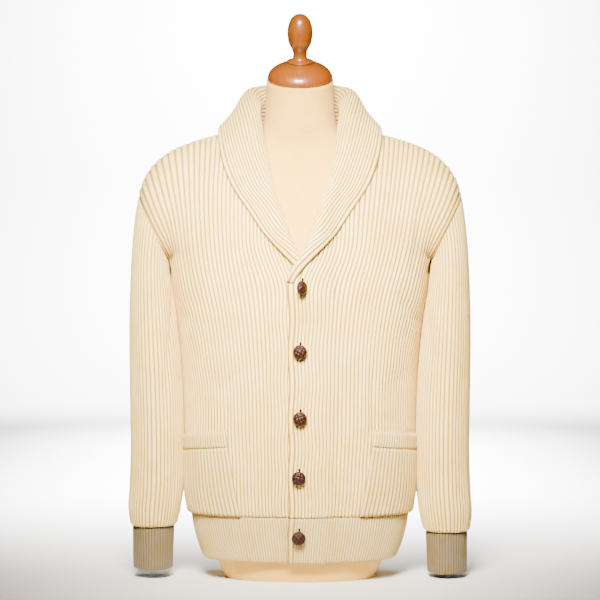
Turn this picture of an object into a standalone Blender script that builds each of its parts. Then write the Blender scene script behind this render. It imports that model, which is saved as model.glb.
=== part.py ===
"""A ribbed shawl collar cardigan on a limbless dress form.

Metres, +Z up. The front faces -Y and the wearer's left is +X. The origin is the middle of the
form's flat base. Every cloth piece is a wall: a plain inner face, and an outer face whose
points stand out along the ribs.
"""
import math

import bpy
import numpy as np

COLLECTION = "shawl_collar_cardigan"

# Cloth
CLOTH = 0.0018  # wall in a valley between two ribs
RIB = 0.0016  # how far a rib stands out of the valleys
COVER = CLOTH + RIB
SEAM = 0.0003  # gap between two sewn pieces
LAID_ON = 0.0014  # gap under a piece that lies on a panel
INSIDE_STEP = 6  # outer columns to one column of the plain inside
FINE_STEP = 3  # the same on the collar and the pockets, which bend more

# Heights of the body
HEM_BOTTOM = 0.033
HEM_SEAM = 0.105
CHEST = 0.45  # under this height the body is a stack of rings, above it arches to the shoulders

# Ribs
FRONT_RIBS = 40
BACK_RIBS = 76
SLEEVE_RIBS = 54
HEM_FRONT_RIBS = 44
HEM_BACK_RIBS = 80
CUFF_RIBS = 42
COLLAR_RIBS = 26
POCKET_RIBS = 15
WELT_RIBS = 22
BORDER = 1.7  # width of the front edge's first rib, in ribs
SPREAD = 0.12  # ribs widen towards the side seams by about twice this share

# Closing
OVERLAP = 0.019  # each front's edge passes the centre line by this
LIFT = 0.0056  # the left front lies this far above the right one
LIFT_END = 0.065  # and settles back by this x
V_LIFT = 0.009  # more lift where the collar's two ends cross

# Pockets: heights at the inner end, the side end is lower
WELT_TOP = 0.2385
WELT_HEIGHT = 0.0255
WELT_DROP = 0.0105
POCKET_INNER_TOP = 0.535  # where the pocket starts across the front, as a share of its ribs
POCKET_INNER_LOW = 0.455
POCKET_OUTER = 0.93

SECTION_ROUND = 2.6  # superellipse power of the body's rings
ASPECT = 0.65  # depth to half-width of the ring that spaces the ribs


def table(names, rows):
    """A table as one array for each named column."""
    return dict(zip(names, np.array(rows, float).T))


BODY = table(
    ("height", "half_width", "front", "back"),
    (
        (0.033, 0.1560, 0.1080, 0.1050),
        (0.070, 0.1685, 0.1135, 0.1090),
        (0.105, 0.1755, 0.1165, 0.1120),
        (0.136, 0.1800, 0.1190, 0.1140),
        (0.200, 0.1810, 0.1215, 0.1160),
        (0.300, 0.1825, 0.1240, 0.1180),
        (0.360, 0.1865, 0.1250, 0.1190),
        (0.410, 0.1925, 0.1255, 0.1200),
        (0.450, 0.1985, 0.1250, 0.1200),
    ),
)

# The shoulder line from the neck point to the tip of the drop shoulder
SHOULDER = table(
    ("x", "z"),
    (
        (0.0800, 0.7160),
        (0.1300, 0.7056),
        (0.1650, 0.6960),
        (0.2070, 0.6780),
        (0.2270, 0.6630),
        (0.2400, 0.6480),
        (0.2500, 0.6300),
        (0.2560, 0.6080),
    ),
)
NECK_RIBS_FRONT = 0.365  # share of a front's ribs that end at the collar seam
NECK_RIBS_BACK = 0.30
BACK_NECK_RISE = 0.060  # the back's arch line is this much higher at the centre

# Where a front's rib ends at the collar seam: its share across the front, and of its arch
COLLAR_SEAM = table(
    ("across", "rise"),
    (
        (0.000, 0.030),
        (0.100, 0.122),
        (0.180, 0.210),
        (0.250, 0.330),
        (0.315, 0.515),
        (0.345, 0.720),
        (0.365, 1.000),
    ),
)

# The rows of a body panel, as shares of each rib. The third meets the underarm.
BODY_ROWS = (0, 0.33, 0.6311, 0.70, 0.775, 0.85, 0.925, 1.0)
UNDERARM_SHARE = 0.17  # share of the arch that the side seam takes up to the armhole
UNDERARM_GAP = 0.0012  # between sleeve and body where they lie back to back
ARCH_PATH = 0.80  # length of an arch against the length from the hem seam to the chest

# The collar's plain face, from the back centre (0) to the front end (1) on the left side:
# its seam, its fold beside the neck, the top of its roll, its middle and its free edge
COLLAR = table(
    (
        "place",
        "seam_x", "seam_y", "seam_z",
        "fold_x", "fold_y", "fold_z",
        "roll_x", "roll_y", "roll_z",
        "mid_x", "mid_y", "mid_z",
        "edge_x", "edge_y", "edge_z",
    ),
    (
        (0.000, 0.0000, 0.0675, 0.7200, 0.0000, 0.0655, 0.7780, 0.0000, 0.0740, 0.7900,
         0.0000, 0.0850, 0.7560, 0.0000, 0.0810, 0.7010),
        (0.113, 0.0385, 0.0535, 0.7190, 0.0345, 0.0570, 0.7770, 0.0395, 0.0640, 0.7895,
         0.0490, 0.0750, 0.7530, 0.0570, 0.0710, 0.6960),
        (0.225, 0.0640, 0.0275, 0.7175, 0.0570, 0.0340, 0.7720, 0.0660, 0.0400, 0.7830,
         0.0860, 0.0510, 0.7450, 0.0990, 0.0500, 0.6970),
        (0.338, 0.0785, 0.0010, 0.7185, 0.0665, 0.0070, 0.7580, 0.0800, 0.0060, 0.7710,
         0.1080, 0.0050, 0.7380, 0.1268, 0.0040, 0.7145),
        (0.427, 0.0755, -0.0270, 0.7075, 0.0645, -0.0300, 0.7270, 0.0750, -0.0350, 0.7390,
         0.1040, -0.0350, 0.7225, 0.1290, -0.0395, 0.6985),
        (0.519, 0.0700, -0.0645, 0.6745, 0.0545, -0.0735, 0.6680, 0.0625, -0.0815, 0.6730,
         0.0900, -0.0750, 0.6755, 0.1220, -0.0715, 0.6575),
        (0.598, 0.0615, -0.0885, 0.6330, 0.0460, -0.0945, 0.6265, 0.0530, -0.1020, 0.6290,
         0.0780, -0.0975, 0.6280, 0.1090, -0.0890, 0.6230),
        (0.712, 0.0490, -0.1060, 0.5905, 0.0340, -0.1095, 0.5865, 0.0400, -0.1155, 0.5875,
         0.0590, -0.1130, 0.5830, 0.0800, -0.1075, 0.5775),
        (0.801, 0.0325, -0.1170, 0.5460, 0.0215, -0.1185, 0.5490, 0.0265, -0.1235, 0.5490,
         0.0400, -0.1230, 0.5420, 0.0550, -0.1187, 0.5415),
        (0.885, 0.0150, -0.1225, 0.5150, 0.0090, -0.1235, 0.5205, 0.0125, -0.1280, 0.5195,
         0.0190, -0.1285, 0.5155, 0.0270, -0.1250, 0.5110),
        (0.946, 0.0035, -0.1240, 0.4950, -0.0020, -0.1250, 0.4970, 0.0003, -0.1285, 0.4955,
         0.0020, -0.1285, 0.4935, 0.0045, -0.1255, 0.4900),
        (1.000, -0.0160, -0.1250, 0.4675, -0.0150, -0.1262, 0.4725, -0.0142, -0.1285, 0.4725,
         -0.0130, -0.1285, 0.4705, -0.0115, -0.1270, 0.4680),
    ),
)
COLLAR_LINES = ("edge", "mid", "roll", "fold", "seam")
COLLAR_FULL = 0.338  # all ribs run from the back to this place, then end one by one at the seam
COLLAR_CROSSES = 0.55  # from this place on the left side lies above the right one
COLLAR_END = {"left": 1.0, "right": 0.950}
COLLAR_ROWS = 17

# A sleeve's sections: outer and inner end of each, and its half depth
SLEEVE = table(
    ("out_x", "out_z", "in_x", "in_z", "depth", "y"),
    (
        (0.2560, 0.6080, 0.2085, 0.4965, 0.0655, 0.000),
        (0.2620, 0.5700, 0.2072, 0.4800, 0.0690, -0.001),
        (0.2672, 0.5200, 0.2050, 0.4570, 0.0705, -0.002),
        (0.2704, 0.4600, 0.1995, 0.4200, 0.0700, -0.004),
        (0.2720, 0.3900, 0.1940, 0.3700, 0.0675, -0.006),
        (0.2710, 0.3000, 0.1885, 0.3000, 0.0630, -0.009),
        (0.2695, 0.2100, 0.1865, 0.2100, 0.0580, -0.012),
        (0.2715, 0.1450, 0.1865, 0.1450, 0.0545, -0.014),
        (0.2735, 0.1120, 0.1895, 0.1120, 0.0520, -0.015),
        (0.2700, 0.0835, 0.1965, 0.0835, 0.0455, -0.015),
    ),
)
BUTTONS = table(
    ("x", "z", "turned"),
    (
        (0.0030, 0.4582, 55.0),
        (0.0000, 0.3604, 0.0),
        (0.0000, 0.2580, 0.0),
        (-0.0020, 0.1668, 0.0),
        (-0.0020, 0.0742, 0.0),
    ),
)
# A woven leather button's outline from its crown to its back: radius and height
BUTTON_OUTLINE = (
    (0.0, 0.0064),
    (0.0045, 0.0059),
    (0.0085, 0.0041),
    (0.0110, 0.0012),
    (0.0112, -0.0016),
    (0.0085, -0.0046),
    (0.0, -0.0056),
)

# The dress form's rings: front and back are depths, slope tips the ring forwards
FORM = table(
    ("height", "half_width", "front", "back", "slope"),
    (
        (0.0000, 0.1180, 0.0800, 0.0770, 0.00),
        (0.0100, 0.1240, 0.0850, 0.0820, 0.00),
        (0.0500, 0.1420, 0.0960, 0.0920, 0.00),
        (0.1050, 0.1570, 0.1030, 0.0990, 0.00),
        (0.2000, 0.1630, 0.1070, 0.1020, 0.00),
        (0.3000, 0.1640, 0.1090, 0.1040, 0.00),
        (0.4000, 0.1720, 0.1100, 0.1050, 0.00),
        (0.4700, 0.1830, 0.1090, 0.1050, 0.00),
        (0.5300, 0.1950, 0.1040, 0.1010, 0.00),
        (0.5800, 0.2010, 0.0940, 0.0930, 0.00),
        (0.6200, 0.1970, 0.0800, 0.0820, 0.00),
        (0.6500, 0.1780, 0.0650, 0.0690, 0.00),
        (0.6700, 0.1460, 0.0530, 0.0600, 0.00),
        (0.6830, 0.1130, 0.0450, 0.0540, 0.02),
        (0.6940, 0.0830, 0.0440, 0.0510, 0.06),
        (0.7080, 0.0640, 0.0465, 0.0500, 0.12),
        (0.7300, 0.0565, 0.0485, 0.0500, 0.22),
        (0.7620, 0.0540, 0.0495, 0.0500, 0.34),
        (0.7912, 0.0535, 0.0496, 0.0496, 0.404),
    ),
)
FORM_SIDES = 26
FORM_ROUND = 2.3

# The neck cap and its finial are turned pieces on one axis that leans forwards
CAP_PLACE = (0.0, 0.0, 0.796)
CAP_LEAN = 22.0
CAP_OUTLINE = (
    (0.0215, 0.0243),
    (0.0300, 0.0221),
    (0.0400, 0.0172),
    (0.0480, 0.0103),
    (0.0518, 0.0030),
    (0.0515, -0.0020),
    (0.0480, -0.0040),
)
FINIAL_OUTLINE = (
    (0.0075, 0.1018),
    (0.0150, 0.0945),
    (0.0194, 0.0820),
    (0.0203, 0.0700),
    (0.0180, 0.0570),
    (0.0125, 0.0452),
    (0.0108, 0.0380),
    (0.0124, 0.0312),
    (0.0165, 0.0290),
    (0.0212, 0.0272),
    (0.0205, 0.0246),
)
FINIAL_TOP = 0.1035
TURNED_STEPS = 18
BUTTON_STEPS = 12

SLEEVE_ROWS = (0, 1, 2.3, 4, 6.4, 8, 9)
CUFF_TOP = (0.2668, 0.1995, 0.0400)  # outer x, inner x and half depth
CUFF_END = (0.2650, 0.2015, 0.0375)
CUFF_HEIGHT = {"left": (0.0080, 0.0745), "right": (0.0150, 0.0832)}  # its end and its seam
SLEEVE_ROUND = 2.15

COLOURS = {
    "wool": (0.86, 0.78, 0.62, 1.0),
    "leather": (0.16, 0.055, 0.03, 1.0),
    "cotton": (0.82, 0.72, 0.55, 1.0),
    "wood": (0.62, 0.29, 0.09, 1.0),
}
ROUGHNESS = {"wool": 0.9, "leather": 0.35, "cotton": 0.85, "wood": 0.3}


def clear_scene():
    for obj in list(bpy.data.objects):
        bpy.data.objects.remove(obj, do_unlink=True)


def make_materials():
    made = {}
    for name, colour in COLOURS.items():
        material = bpy.data.materials.new(name)
        material.use_nodes = True
        shader = material.node_tree.nodes["Principled BSDF"]
        shader.inputs["Base Color"].default_value = colour
        shader.inputs["Roughness"].default_value = ROUGHNESS[name]
        shader.inputs["Metallic"].default_value = 0.0
        made[name] = material
    return made


def smooth(xs, ys, x):
    """Cubic curve through the points (xs, ys), each passed at the slope of its neighbours."""
    xs = np.asarray(xs, float)
    ys = np.asarray(ys, float)
    slopes = np.gradient(ys, xs, axis=0)
    x = np.clip(np.asarray(x, float), xs[0], xs[-1])
    at = np.clip(np.searchsorted(xs, x, side="right") - 1, 0, len(xs) - 2)
    step = xs[at + 1] - xs[at]
    t = (x - xs[at]) / step
    if ys.ndim > 1:
        t = t[..., None]
        step = step[..., None]
    return (
        (2 * t**3 - 3 * t**2 + 1) * ys[at]
        + (t**3 - 2 * t**2 + t) * step * slopes[at]
        + (3 * t**2 - 2 * t**3) * ys[at + 1]
        + (t**3 - t**2) * step * slopes[at + 1]
    )


def ease(x, low, high):
    """0 below low, 1 above high, and a soft step between."""
    t = np.clip((x - low) / (high - low), 0, 1)
    return t * t * (3 - 2 * t)


def quarter_ring():
    """A superellipse quarter by its share of arc: how far out, and how far forward."""
    turn = np.linspace(0, math.pi / 2, 2001)
    out = np.sin(turn) ** (2 / SECTION_ROUND)
    forward = np.cos(turn) ** (2 / SECTION_ROUND)
    steps = np.hypot(np.diff(out), ASPECT * np.diff(forward))
    arc = np.concatenate([[0], np.cumsum(steps)])
    return arc / arc[-1], out, forward, arc[-1]


ARC, ARC_OUT, ARC_FORWARD, ARC_LENGTH = quarter_ring()


def ring_point(side, share, z):
    """A point of the body's plain face: share of arc from the centre line, height z."""
    half_width = smooth(BODY["height"], BODY["half_width"], z) - COVER
    depth = smooth(BODY["height"], BODY["front" if side < 0 else "back"], z) - COVER
    x = np.sign(share) * half_width * np.interp(np.abs(share), ARC, ARC_OUT)
    y = side * depth * np.interp(np.abs(share), ARC, ARC_FORWARD)
    return np.stack([x, y, z + 0 * x], axis=-1)


def rib_edges(count, border=1.0):
    """Shares across a panel of its rib edges and crests, the first rib border times as wide."""
    widths = np.ones(count)
    widths[0] = border
    edges = np.concatenate([[0], np.cumsum(widths)])
    crests = (edges[:-1] + edges[1:]) / 2
    both = np.empty(2 * count + 1)
    both[0::2] = edges
    both[1::2] = crests
    return both / edges[-1]


def rib_heights(count, rib=RIB):
    """How far the outer face stands off the inner one, at each rib edge and crest."""
    heights = np.full(2 * count + 1, CLOTH)
    heights[1::2] += rib
    return heights


def shoulder_point(along):
    """The shoulder line at a share of its length, on the cloth's plain face."""
    lengths = np.hypot(np.diff(SHOULDER["x"]), np.diff(SHOULDER["z"]))
    arc = np.concatenate([[0], np.cumsum(lengths)])
    x = smooth(arc / arc[-1], SHOULDER["x"], along)
    z = smooth(arc / arc[-1], SHOULDER["z"], along)
    lean = ease(along, 0.5, 1.0)
    return x - COVER * 0.4 * lean, z - COVER * (1 - 0.1 * lean)


def arch_top(side, across):
    """Where a rib would reach the line over the shoulders: x and z."""
    neck = NECK_RIBS_FRONT if side < 0 else NECK_RIBS_BACK
    start_x = -0.016 if side < 0 else 0.0
    along = np.clip((across - neck) / (1 - neck), 0, 1)
    x, z = shoulder_point(along)
    inside = np.clip(across / neck, 0, 1)
    x = np.where(across < neck, start_x + (x - start_x) * inside, x)
    if side > 0:
        z = z + BACK_NECK_RISE * (1 - inside**2) ** 2
    return x, z


def armhole_ways(side, along):
    """Ways out of the sleeve and of the body where they meet.

    They are the same over the shoulder, turn to the front or the back lower down, and are
    opposite under the arm, where the two lie back to back.
    """
    turn = np.where(side < 0, 0.5 - along / 2, 0.5 + along / 2)
    fine = 0.004
    around = sleeve_point(turn + fine, 0 * turn) - sleeve_point(turn - fine, 0 * turn)
    down = sleeve_point(turn, 0 * turn + 0.05) - sleeve_point(turn, 0 * turn)
    of_sleeve = unit(np.cross(around, down))
    low = np.array([1.0, 0.4 * side, -0.2])
    middle = np.array([1.0, 0.8 * side, 0.6])
    own = unit(low + (middle - low) * ease(along, 0.0, 0.18)[..., None])
    return of_sleeve, unit(own + (of_sleeve - own) * ease(along, 0.25, 0.78)[..., None])


def armhole(side, along):
    """The armhole's edge on the body, from the underarm (0) to the shoulder tip (1).

    It is the sleeve's first ring, moved off it by both walls where the ways out are opposite.
    """
    along = np.asarray(along, float)
    turn = np.where(side < 0, 0.5 - along / 2, 0.5 + along / 2)
    of_sleeve, of_body = armhole_ways(side, along)
    apart = (1 - (of_sleeve * of_body).sum(axis=-1, keepdims=True)) / 2
    return sleeve_point(turn, 0 * turn) + of_sleeve * apart * (2 * COVER + UNDERARM_GAP)


def side_line(side, rise):
    """The last rib above the chest: the side seam, then the armhole's edge."""
    below = np.clip(rise / UNDERARM_SHARE, 0, 1)
    start = ring_point(side, np.ones_like(rise), np.full_like(rise, CHEST))
    loop = armhole(side, np.clip((rise - UNDERARM_SHARE) / (1 - UNDERARM_SHARE), 0, 1))
    under = armhole(side, np.zeros_like(rise))
    seam = start + (under - start) * below[..., None]
    return np.where((rise < UNDERARM_SHARE)[..., None], seam, loop)


def arch(side, across, share, rise):
    """Above the chest: a quarter of an ellipse from the ring up to the line over the shoulders."""
    start = ring_point(side, share, np.full_like(rise, CHEST))
    top_x, top_z = arch_top(side, across)
    turn = rise * math.pi / 2
    x = start[..., 0] + (top_x - start[..., 0]) * np.sin(turn)
    y = start[..., 1] * np.cos(turn)
    z = CHEST + (top_z - CHEST) * np.sin(turn)
    return np.stack([x, y, z], axis=-1)


def rib_share(side, across, z):
    """Share of the ring's arc at which a rib stands, by its share across the panel."""
    spaced = (across + SPREAD * across**2) / (1 + SPREAD)
    if side > 0:
        return spaced
    quarter = ARC_LENGTH * (smooth(BODY["height"], BODY["half_width"], z) - COVER)
    start = -OVERLAP / quarter
    return start + (1 - start) * spaced


def rib_end(side, across):
    """How far a rib goes: 1 is the chest, and 1 + ARCH_PATH the line over the shoulders."""
    if side < 0:
        neck = NECK_RIBS_FRONT
        rise = smooth(COLLAR_SEAM["across"], COLLAR_SEAM["rise"], across)
    else:
        neck = NECK_RIBS_BACK
        inside = np.clip(across / neck, 0, 1)
        rise = 0.62 + 0.38 * inside**2.2
    return 1 + ARCH_PATH * np.where(across < neck, rise, 1.0)


def body_point(side, across, path):
    """The plain face of a front (side -1) or half of the back (side 1)."""
    across, path = np.broadcast_arrays(np.asarray(across, float), np.asarray(path, float))
    z = HEM_SEAM + (CHEST - HEM_SEAM) * np.clip(path, 0, 1)
    low = ring_point(side, rib_share(side, across, z), z)
    rise = np.clip((path - 1) / ARCH_PATH, 0, 1)
    share = rib_share(side, across, np.full_like(rise, CHEST))
    high = arch(side, across, share, rise)
    at_side = arch(side, np.ones_like(rise), np.ones_like(rise), rise)
    pull = ease(across, 0.5, 1.0) ** 1.3
    high = high + pull[..., None] * (side_line(side, rise) - at_side)
    return np.where((path < 1)[..., None], low, high)


def front_lift(x, z):
    """How far the left front lies above the right one, most along its edge."""
    near = 1 - ease(x, OVERLAP + 0.004, LIFT_END)
    return near * (LIFT + V_LIFT * ease(z, 0.38, CHEST))


def unit(way):
    return way / np.linalg.norm(way, axis=-1, keepdims=True)


def normals(points, closed=False):
    """Unit normals of a grid of points, from its rows and columns."""
    if closed:
        wrapped = np.concatenate([points[:, -1:], points, points[:, :1]], axis=1)
        across = np.gradient(wrapped, axis=1)[:, 1:-1]
    else:
        across = np.gradient(points, axis=1)
    along = np.gradient(points, axis=0)
    out = np.cross(across, along)
    return out / np.linalg.norm(out, axis=-1, keepdims=True)


def add_mesh(name, points, faces, material):
    mesh = bpy.data.meshes.new(name)
    mesh.from_pydata([tuple(map(float, point)) for point in points], [], faces)
    mesh.validate()
    obj = bpy.data.objects.new(name, mesh)
    bpy.data.collections[COLLECTION].objects.link(obj)
    obj.data.materials.append(material)
    return obj


def mesh_volume(points, faces):
    total = 0.0
    for face in faces:
        corner = points[face[0]]
        for second, third in zip(face[1:-1], face[2:]):
            total += np.dot(corner, np.cross(points[second], points[third]))
    return total / 6


def split(points, face):
    """A four-sided face as two triangles that share its shorter diagonal."""
    first, second, third, fourth = face
    one = points[first] - points[third]
    other = points[second] - points[fourth]
    if one @ one <= other @ other:
        return [(first, second, third), (first, third, fourth)]
    return [(first, second, fourth), (second, third, fourth)]


def wall(name, inner, outer, material, closed=False):
    """A closed wall between a plain grid and a ribbed one with the same rows.

    The ribbed grid has more columns. Each inner strip meets its run of outer columns in one
    face at the first row and one at the last. A closed wall goes round with no side faces.
    """
    rows, columns = outer.shape[:2]
    strips = inner.shape[1] if closed else inner.shape[1] - 1
    last = columns if closed else columns - 1
    meets = np.round(np.linspace(0, last, strips + 1)).astype(int)
    base = rows * columns
    inner_columns = inner.shape[1]
    points = np.concatenate([outer.reshape(-1, 3), inner.reshape(-1, 3)])

    def out(row, column):
        return row * columns + column % columns

    def ins(row, column):
        return base + row * inner_columns + column % inner_columns

    sides = []
    for row in range(rows - 1):
        after = row + 1
        for column in range(last):
            sides.append(
                (out(row, column), out(row, column + 1), out(after, column + 1), out(after, column))
            )
        for strip in range(strips):
            sides.append(
                (ins(row, strip), ins(after, strip), ins(after, strip + 1), ins(row, strip + 1))
            )
        if not closed:
            sides.append((out(row, 0), out(after, 0), ins(after, 0), ins(row, 0)))
            sides.append((out(row, last), ins(row, strips), ins(after, strips), out(after, last)))
    faces = [half for side in sides for half in split(points, side)]
    for strip in range(strips):
        run = range(meets[strip], meets[strip + 1] + 1)
        faces.append(
            (ins(0, strip), ins(0, strip + 1)) + tuple(out(0, column) for column in reversed(run))
        )
        faces.append(
            (ins(rows - 1, strip + 1), ins(rows - 1, strip))
            + tuple(out(rows - 1, column) for column in run)
        )
    if mesh_volume(points, faces) < 0:
        faces = [tuple(reversed(face)) for face in faces]
    return add_mesh(name, points, faces, material)


def ribbed_wall(name, points, directions, heights, material, closed=False, step=INSIDE_STEP):
    """A wall from its plain face at every outer column, the way out there, and the heights."""
    outer = points + directions * heights[None, :, None]
    columns = points.shape[1]
    if closed:
        meets = np.round(np.linspace(0, columns, columns // step + 1)).astype(int)[:-1]
    else:
        meets = np.round(np.linspace(0, columns - 1, columns // step + 1)).astype(int)
    return wall(name, points[:, meets], outer, material, closed)


def body_grid(side, across, rows):
    """Plain face of a panel: rows from the hem seam to each rib's own end."""
    path = np.array(rows)[:, None] * rib_end(side, across)[None, :]
    return body_point(side, across[None, :], path), path


def sleeve_point(turn, row):
    """A sleeve's plain face: turn 0 is outside, a quarter is the front, a half is inside."""
    at = np.arange(len(SLEEVE["y"]))
    section = {name: smooth(at, SLEEVE[name], row) for name in SLEEVE}
    half_x = (section["out_x"] - section["in_x"]) / 2
    half_z = (section["out_z"] - section["in_z"]) / 2
    shrink = 1 - COVER / np.hypot(half_x, half_z)
    angle = 2 * math.pi * turn
    power = 2 / SLEEVE_ROUND
    out = np.sign(np.cos(angle)) * np.abs(np.cos(angle)) ** power
    front = np.sign(np.sin(angle)) * np.abs(np.sin(angle)) ** power
    x = (section["out_x"] + section["in_x"]) / 2 + half_x * shrink * out
    z = (section["out_z"] + section["in_z"]) / 2 + half_z * shrink * out
    y = section["y"] - (section["depth"] - COVER) * front
    return np.stack([x, y, z], axis=-1)


def even_turns(count, width, depth):
    """Turns round an ellipse at equal steps of arc."""
    turn = np.linspace(0, 1, 2001)
    x = width * np.cos(2 * math.pi * turn)
    y = depth * np.sin(2 * math.pi * turn)
    arc = np.concatenate([[0], np.cumsum(np.hypot(np.diff(x), np.diff(y)))])
    return np.interp(np.arange(count) / count, arc / arc[-1], turn)


def make_front(hand, material):
    across = rib_edges(FRONT_RIBS, BORDER)
    points, path = body_grid(-1, across, BODY_ROWS)
    way = normals(points)
    at_side = path[:, -1] <= 1 + ARCH_PATH * UNDERARM_SHARE
    way[at_side, -1, 1] = 0
    top = across >= NECK_RIBS_FRONT
    way[-1, top, 1] = 0
    way[~at_side, -1] = armhole_way(-1, path[~at_side, -1])
    way /= np.linalg.norm(way, axis=-1, keepdims=True)
    points[..., 1] = np.minimum(points[..., 1], -SEAM)
    points[0, :, 2] += SEAM
    if hand == "left":
        points = points + way * front_lift(points[..., 0], points[..., 2])[..., None]
    else:
        points[..., 0] *= -1
        way[..., 0] *= -1
    return ribbed_wall(f"front_{hand}", points, way, rib_heights(FRONT_RIBS), material)


def armhole_way(side, path):
    """Way out of the body's cloth along the armhole."""
    along = ((path - 1) / ARCH_PATH - UNDERARM_SHARE) / (1 - UNDERARM_SHARE)
    return armhole_ways(side, np.clip(along, 0, 1))[1]


def make_back(material):
    half = rib_edges(BACK_RIBS // 2)
    across = np.concatenate([-half[:0:-1], half])
    points, path = body_grid(1, np.abs(across), BODY_ROWS)
    points[..., 0] *= np.sign(across + 1e-9)[None, :]
    way = -normals(points)
    at_side = path[:, -1] <= 1 + ARCH_PATH * UNDERARM_SHARE
    top = np.abs(across) >= NECK_RIBS_BACK
    way[-1, top, 1] = 0
    for column, mirror in ((0, -1), (-1, 1)):
        way[at_side, column, 1] = 0
        edge = armhole_way(1, path[~at_side, column])
        edge[:, 0] *= mirror
        way[~at_side, column] = edge
    way /= np.linalg.norm(way, axis=-1, keepdims=True)
    points[..., 1] = np.maximum(points[..., 1], SEAM)
    points[0, :, 2] += SEAM
    return ribbed_wall("back", points, way, rib_heights(BACK_RIBS), material)


def make_sleeve(hand, material):
    turns = even_turns(2 * SLEEVE_RIBS, 0.041, 0.066)
    levels = np.array(SLEEVE_ROWS, float)
    points = sleeve_point(turns[None, :], levels[:, None] + 0 * turns[None, :])
    way = normals(points, closed=True)
    away = points - points.mean(axis=1, keepdims=True)
    if (way * away).sum() < 0:
        way = -way
    low, seam = CUFF_HEIGHT[hand]
    stretch = ease(levels, 4, len(levels) - 1)[:, None]
    points[..., 2] += (seam + SEAM - SLEEVE["out_z"][-1]) * stretch
    points[0], way[0] = sewn_ring(turns, points[1])
    if hand == "right":
        points[..., 0] *= -1
        way[..., 0] *= -1
    heights = rib_heights(SLEEVE_RIBS)[:-1]
    return ribbed_wall(f"sleeve_{hand}", points, way, heights, material, closed=True)


def sewn_ring(turns, after):
    """The sleeve's first ring and its way out, laid along the rows that the body has there."""
    rows = (np.array(BODY_ROWS) * (1 + ARCH_PATH) - 1) / ARCH_PATH
    rows = (rows[rows > UNDERARM_SHARE] - UNDERARM_SHARE) / (1 - UNDERARM_SHARE)
    rows = np.concatenate([[0.0], rows])
    along = np.abs(1 - 2 * turns)
    ring = np.zeros((len(turns), 3))
    way = np.zeros_like(ring)
    for side, part in ((-1, turns <= 0.5), (1, turns > 0.5)):
        corners = sleeve_point(0.5 + side * rows / 2, 0 * rows)
        ways = armhole_ways(side, rows)[0]
        for axis in range(3):
            ring[part, axis] = np.interp(along[part], rows, corners[:, axis])
            way[part, axis] = np.interp(along[part], rows, ways[:, axis])
    tangent = np.roll(ring, -1, axis=0) - np.roll(ring, 1, axis=0)
    into = unit(np.cross(tangent, way))
    if (into * (after - ring)).sum() < 0:
        into = -into
    return ring + into * SEAM, way


def make_cuff(hand, material, rows=2):
    end, seam = CUFF_HEIGHT[hand]
    turns = even_turns(2 * CUFF_RIBS, 0.033, 0.040)
    share = np.linspace(0, 1, rows)[:, None]
    out_x, in_x, depth = (
        top + (low - top) * share - slim
        for top, low, slim in zip(CUFF_TOP, CUFF_END, (COVER, -COVER, COVER))
    )
    angle = 2 * math.pi * turns[None, :]
    x = (out_x + in_x) / 2 + (out_x - in_x) / 2 * np.cos(angle)
    y = SLEEVE["y"][-1] - depth * np.sin(angle)
    z = seam - SEAM + (end - seam) * share + 0 * angle
    points = np.stack([x, y, z], axis=-1)
    way = normals(points, closed=True)
    if (way * (points - points.mean(axis=1, keepdims=True))).sum() < 0:
        way = -way
    way[..., 2] = 0
    if hand == "right":
        points[..., 0] *= -1
        way[..., 0] *= -1
    heights = rib_heights(CUFF_RIBS, 0.75 * RIB)[:-1]
    return ribbed_wall(f"cuff_{hand}", points, way, heights, material, closed=True)


def hem_grid(side, across, rows):
    z = np.linspace(HEM_BOTTOM, HEM_SEAM - SEAM, rows)[:, None] + 0 * across[None, :]
    share = rib_share(side, across[None, :], z)
    return ring_point(side, share, z)


def make_hem(name, material, rows=2):
    if name == "back":
        half = rib_edges(HEM_BACK_RIBS // 2)
        across = np.concatenate([-half[:0:-1], half])
        points = hem_grid(1, np.abs(across), rows)
        points[..., 0] *= np.sign(across + 1e-9)[None, :]
        way = -normals(points)
        way[:, (0, -1), 1] = 0
        points[..., 1] = np.maximum(points[..., 1], SEAM)
        count = HEM_BACK_RIBS
    else:
        across = rib_edges(HEM_FRONT_RIBS, BORDER)
        points = hem_grid(-1, across, rows)
        way = normals(points)
        way[:, -1, 1] = 0
        points[..., 1] = np.minimum(points[..., 1], -SEAM)
        count = HEM_FRONT_RIBS
    way /= np.linalg.norm(way, axis=-1, keepdims=True)
    if name == "front_left":
        points = points + way * front_lift(points[..., 0], points[..., 2])[..., None]
    if name == "front_right":
        points[..., 0] *= -1
        way[..., 0] *= -1
    tuck = 0.0012
    return ribbed_wall(f"hem_{name}", points - way * tuck, way, rib_heights(count, 0.75 * RIB), material)


def pocket_grid(across, low, high, rows):
    """Plain face of a piece on the front, between two heights that drop towards the side."""
    share = np.linspace(0, 1, rows)[:, None]
    z = low + (high - low) * share
    inner = POCKET_INNER_LOW + (POCKET_INNER_TOP - POCKET_INNER_LOW) * (
        (z - HEM_SEAM) / (WELT_TOP - HEM_SEAM)
    )
    place = inner + (POCKET_OUTER - inner) * across[None, :]
    path = (z - HEM_SEAM) / (CHEST - HEM_SEAM) + 0 * place
    return body_point(-1, place, path)


def make_pocket(hand, material):
    across = rib_edges(POCKET_RIBS)
    drop = WELT_DROP * across[None, :]
    low = HEM_SEAM + 0.002 + 0 * drop
    high = WELT_TOP - WELT_HEIGHT - SEAM - drop
    pocket = pocket_grid(across, low, high, 3)
    lifted(f"pocket_{hand}", hand, pocket, rib_heights(POCKET_RIBS), material)
    across = rib_edges(WELT_RIBS)
    drop = WELT_DROP * across[None, :]
    low = WELT_TOP - WELT_HEIGHT - drop
    welt = pocket_grid(across, low, WELT_TOP - drop, 2)
    heights = rib_heights(WELT_RIBS, 0.6 * RIB) + 0.0012
    lifted(f"pocket_welt_{hand}", hand, welt, heights, material)


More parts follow.
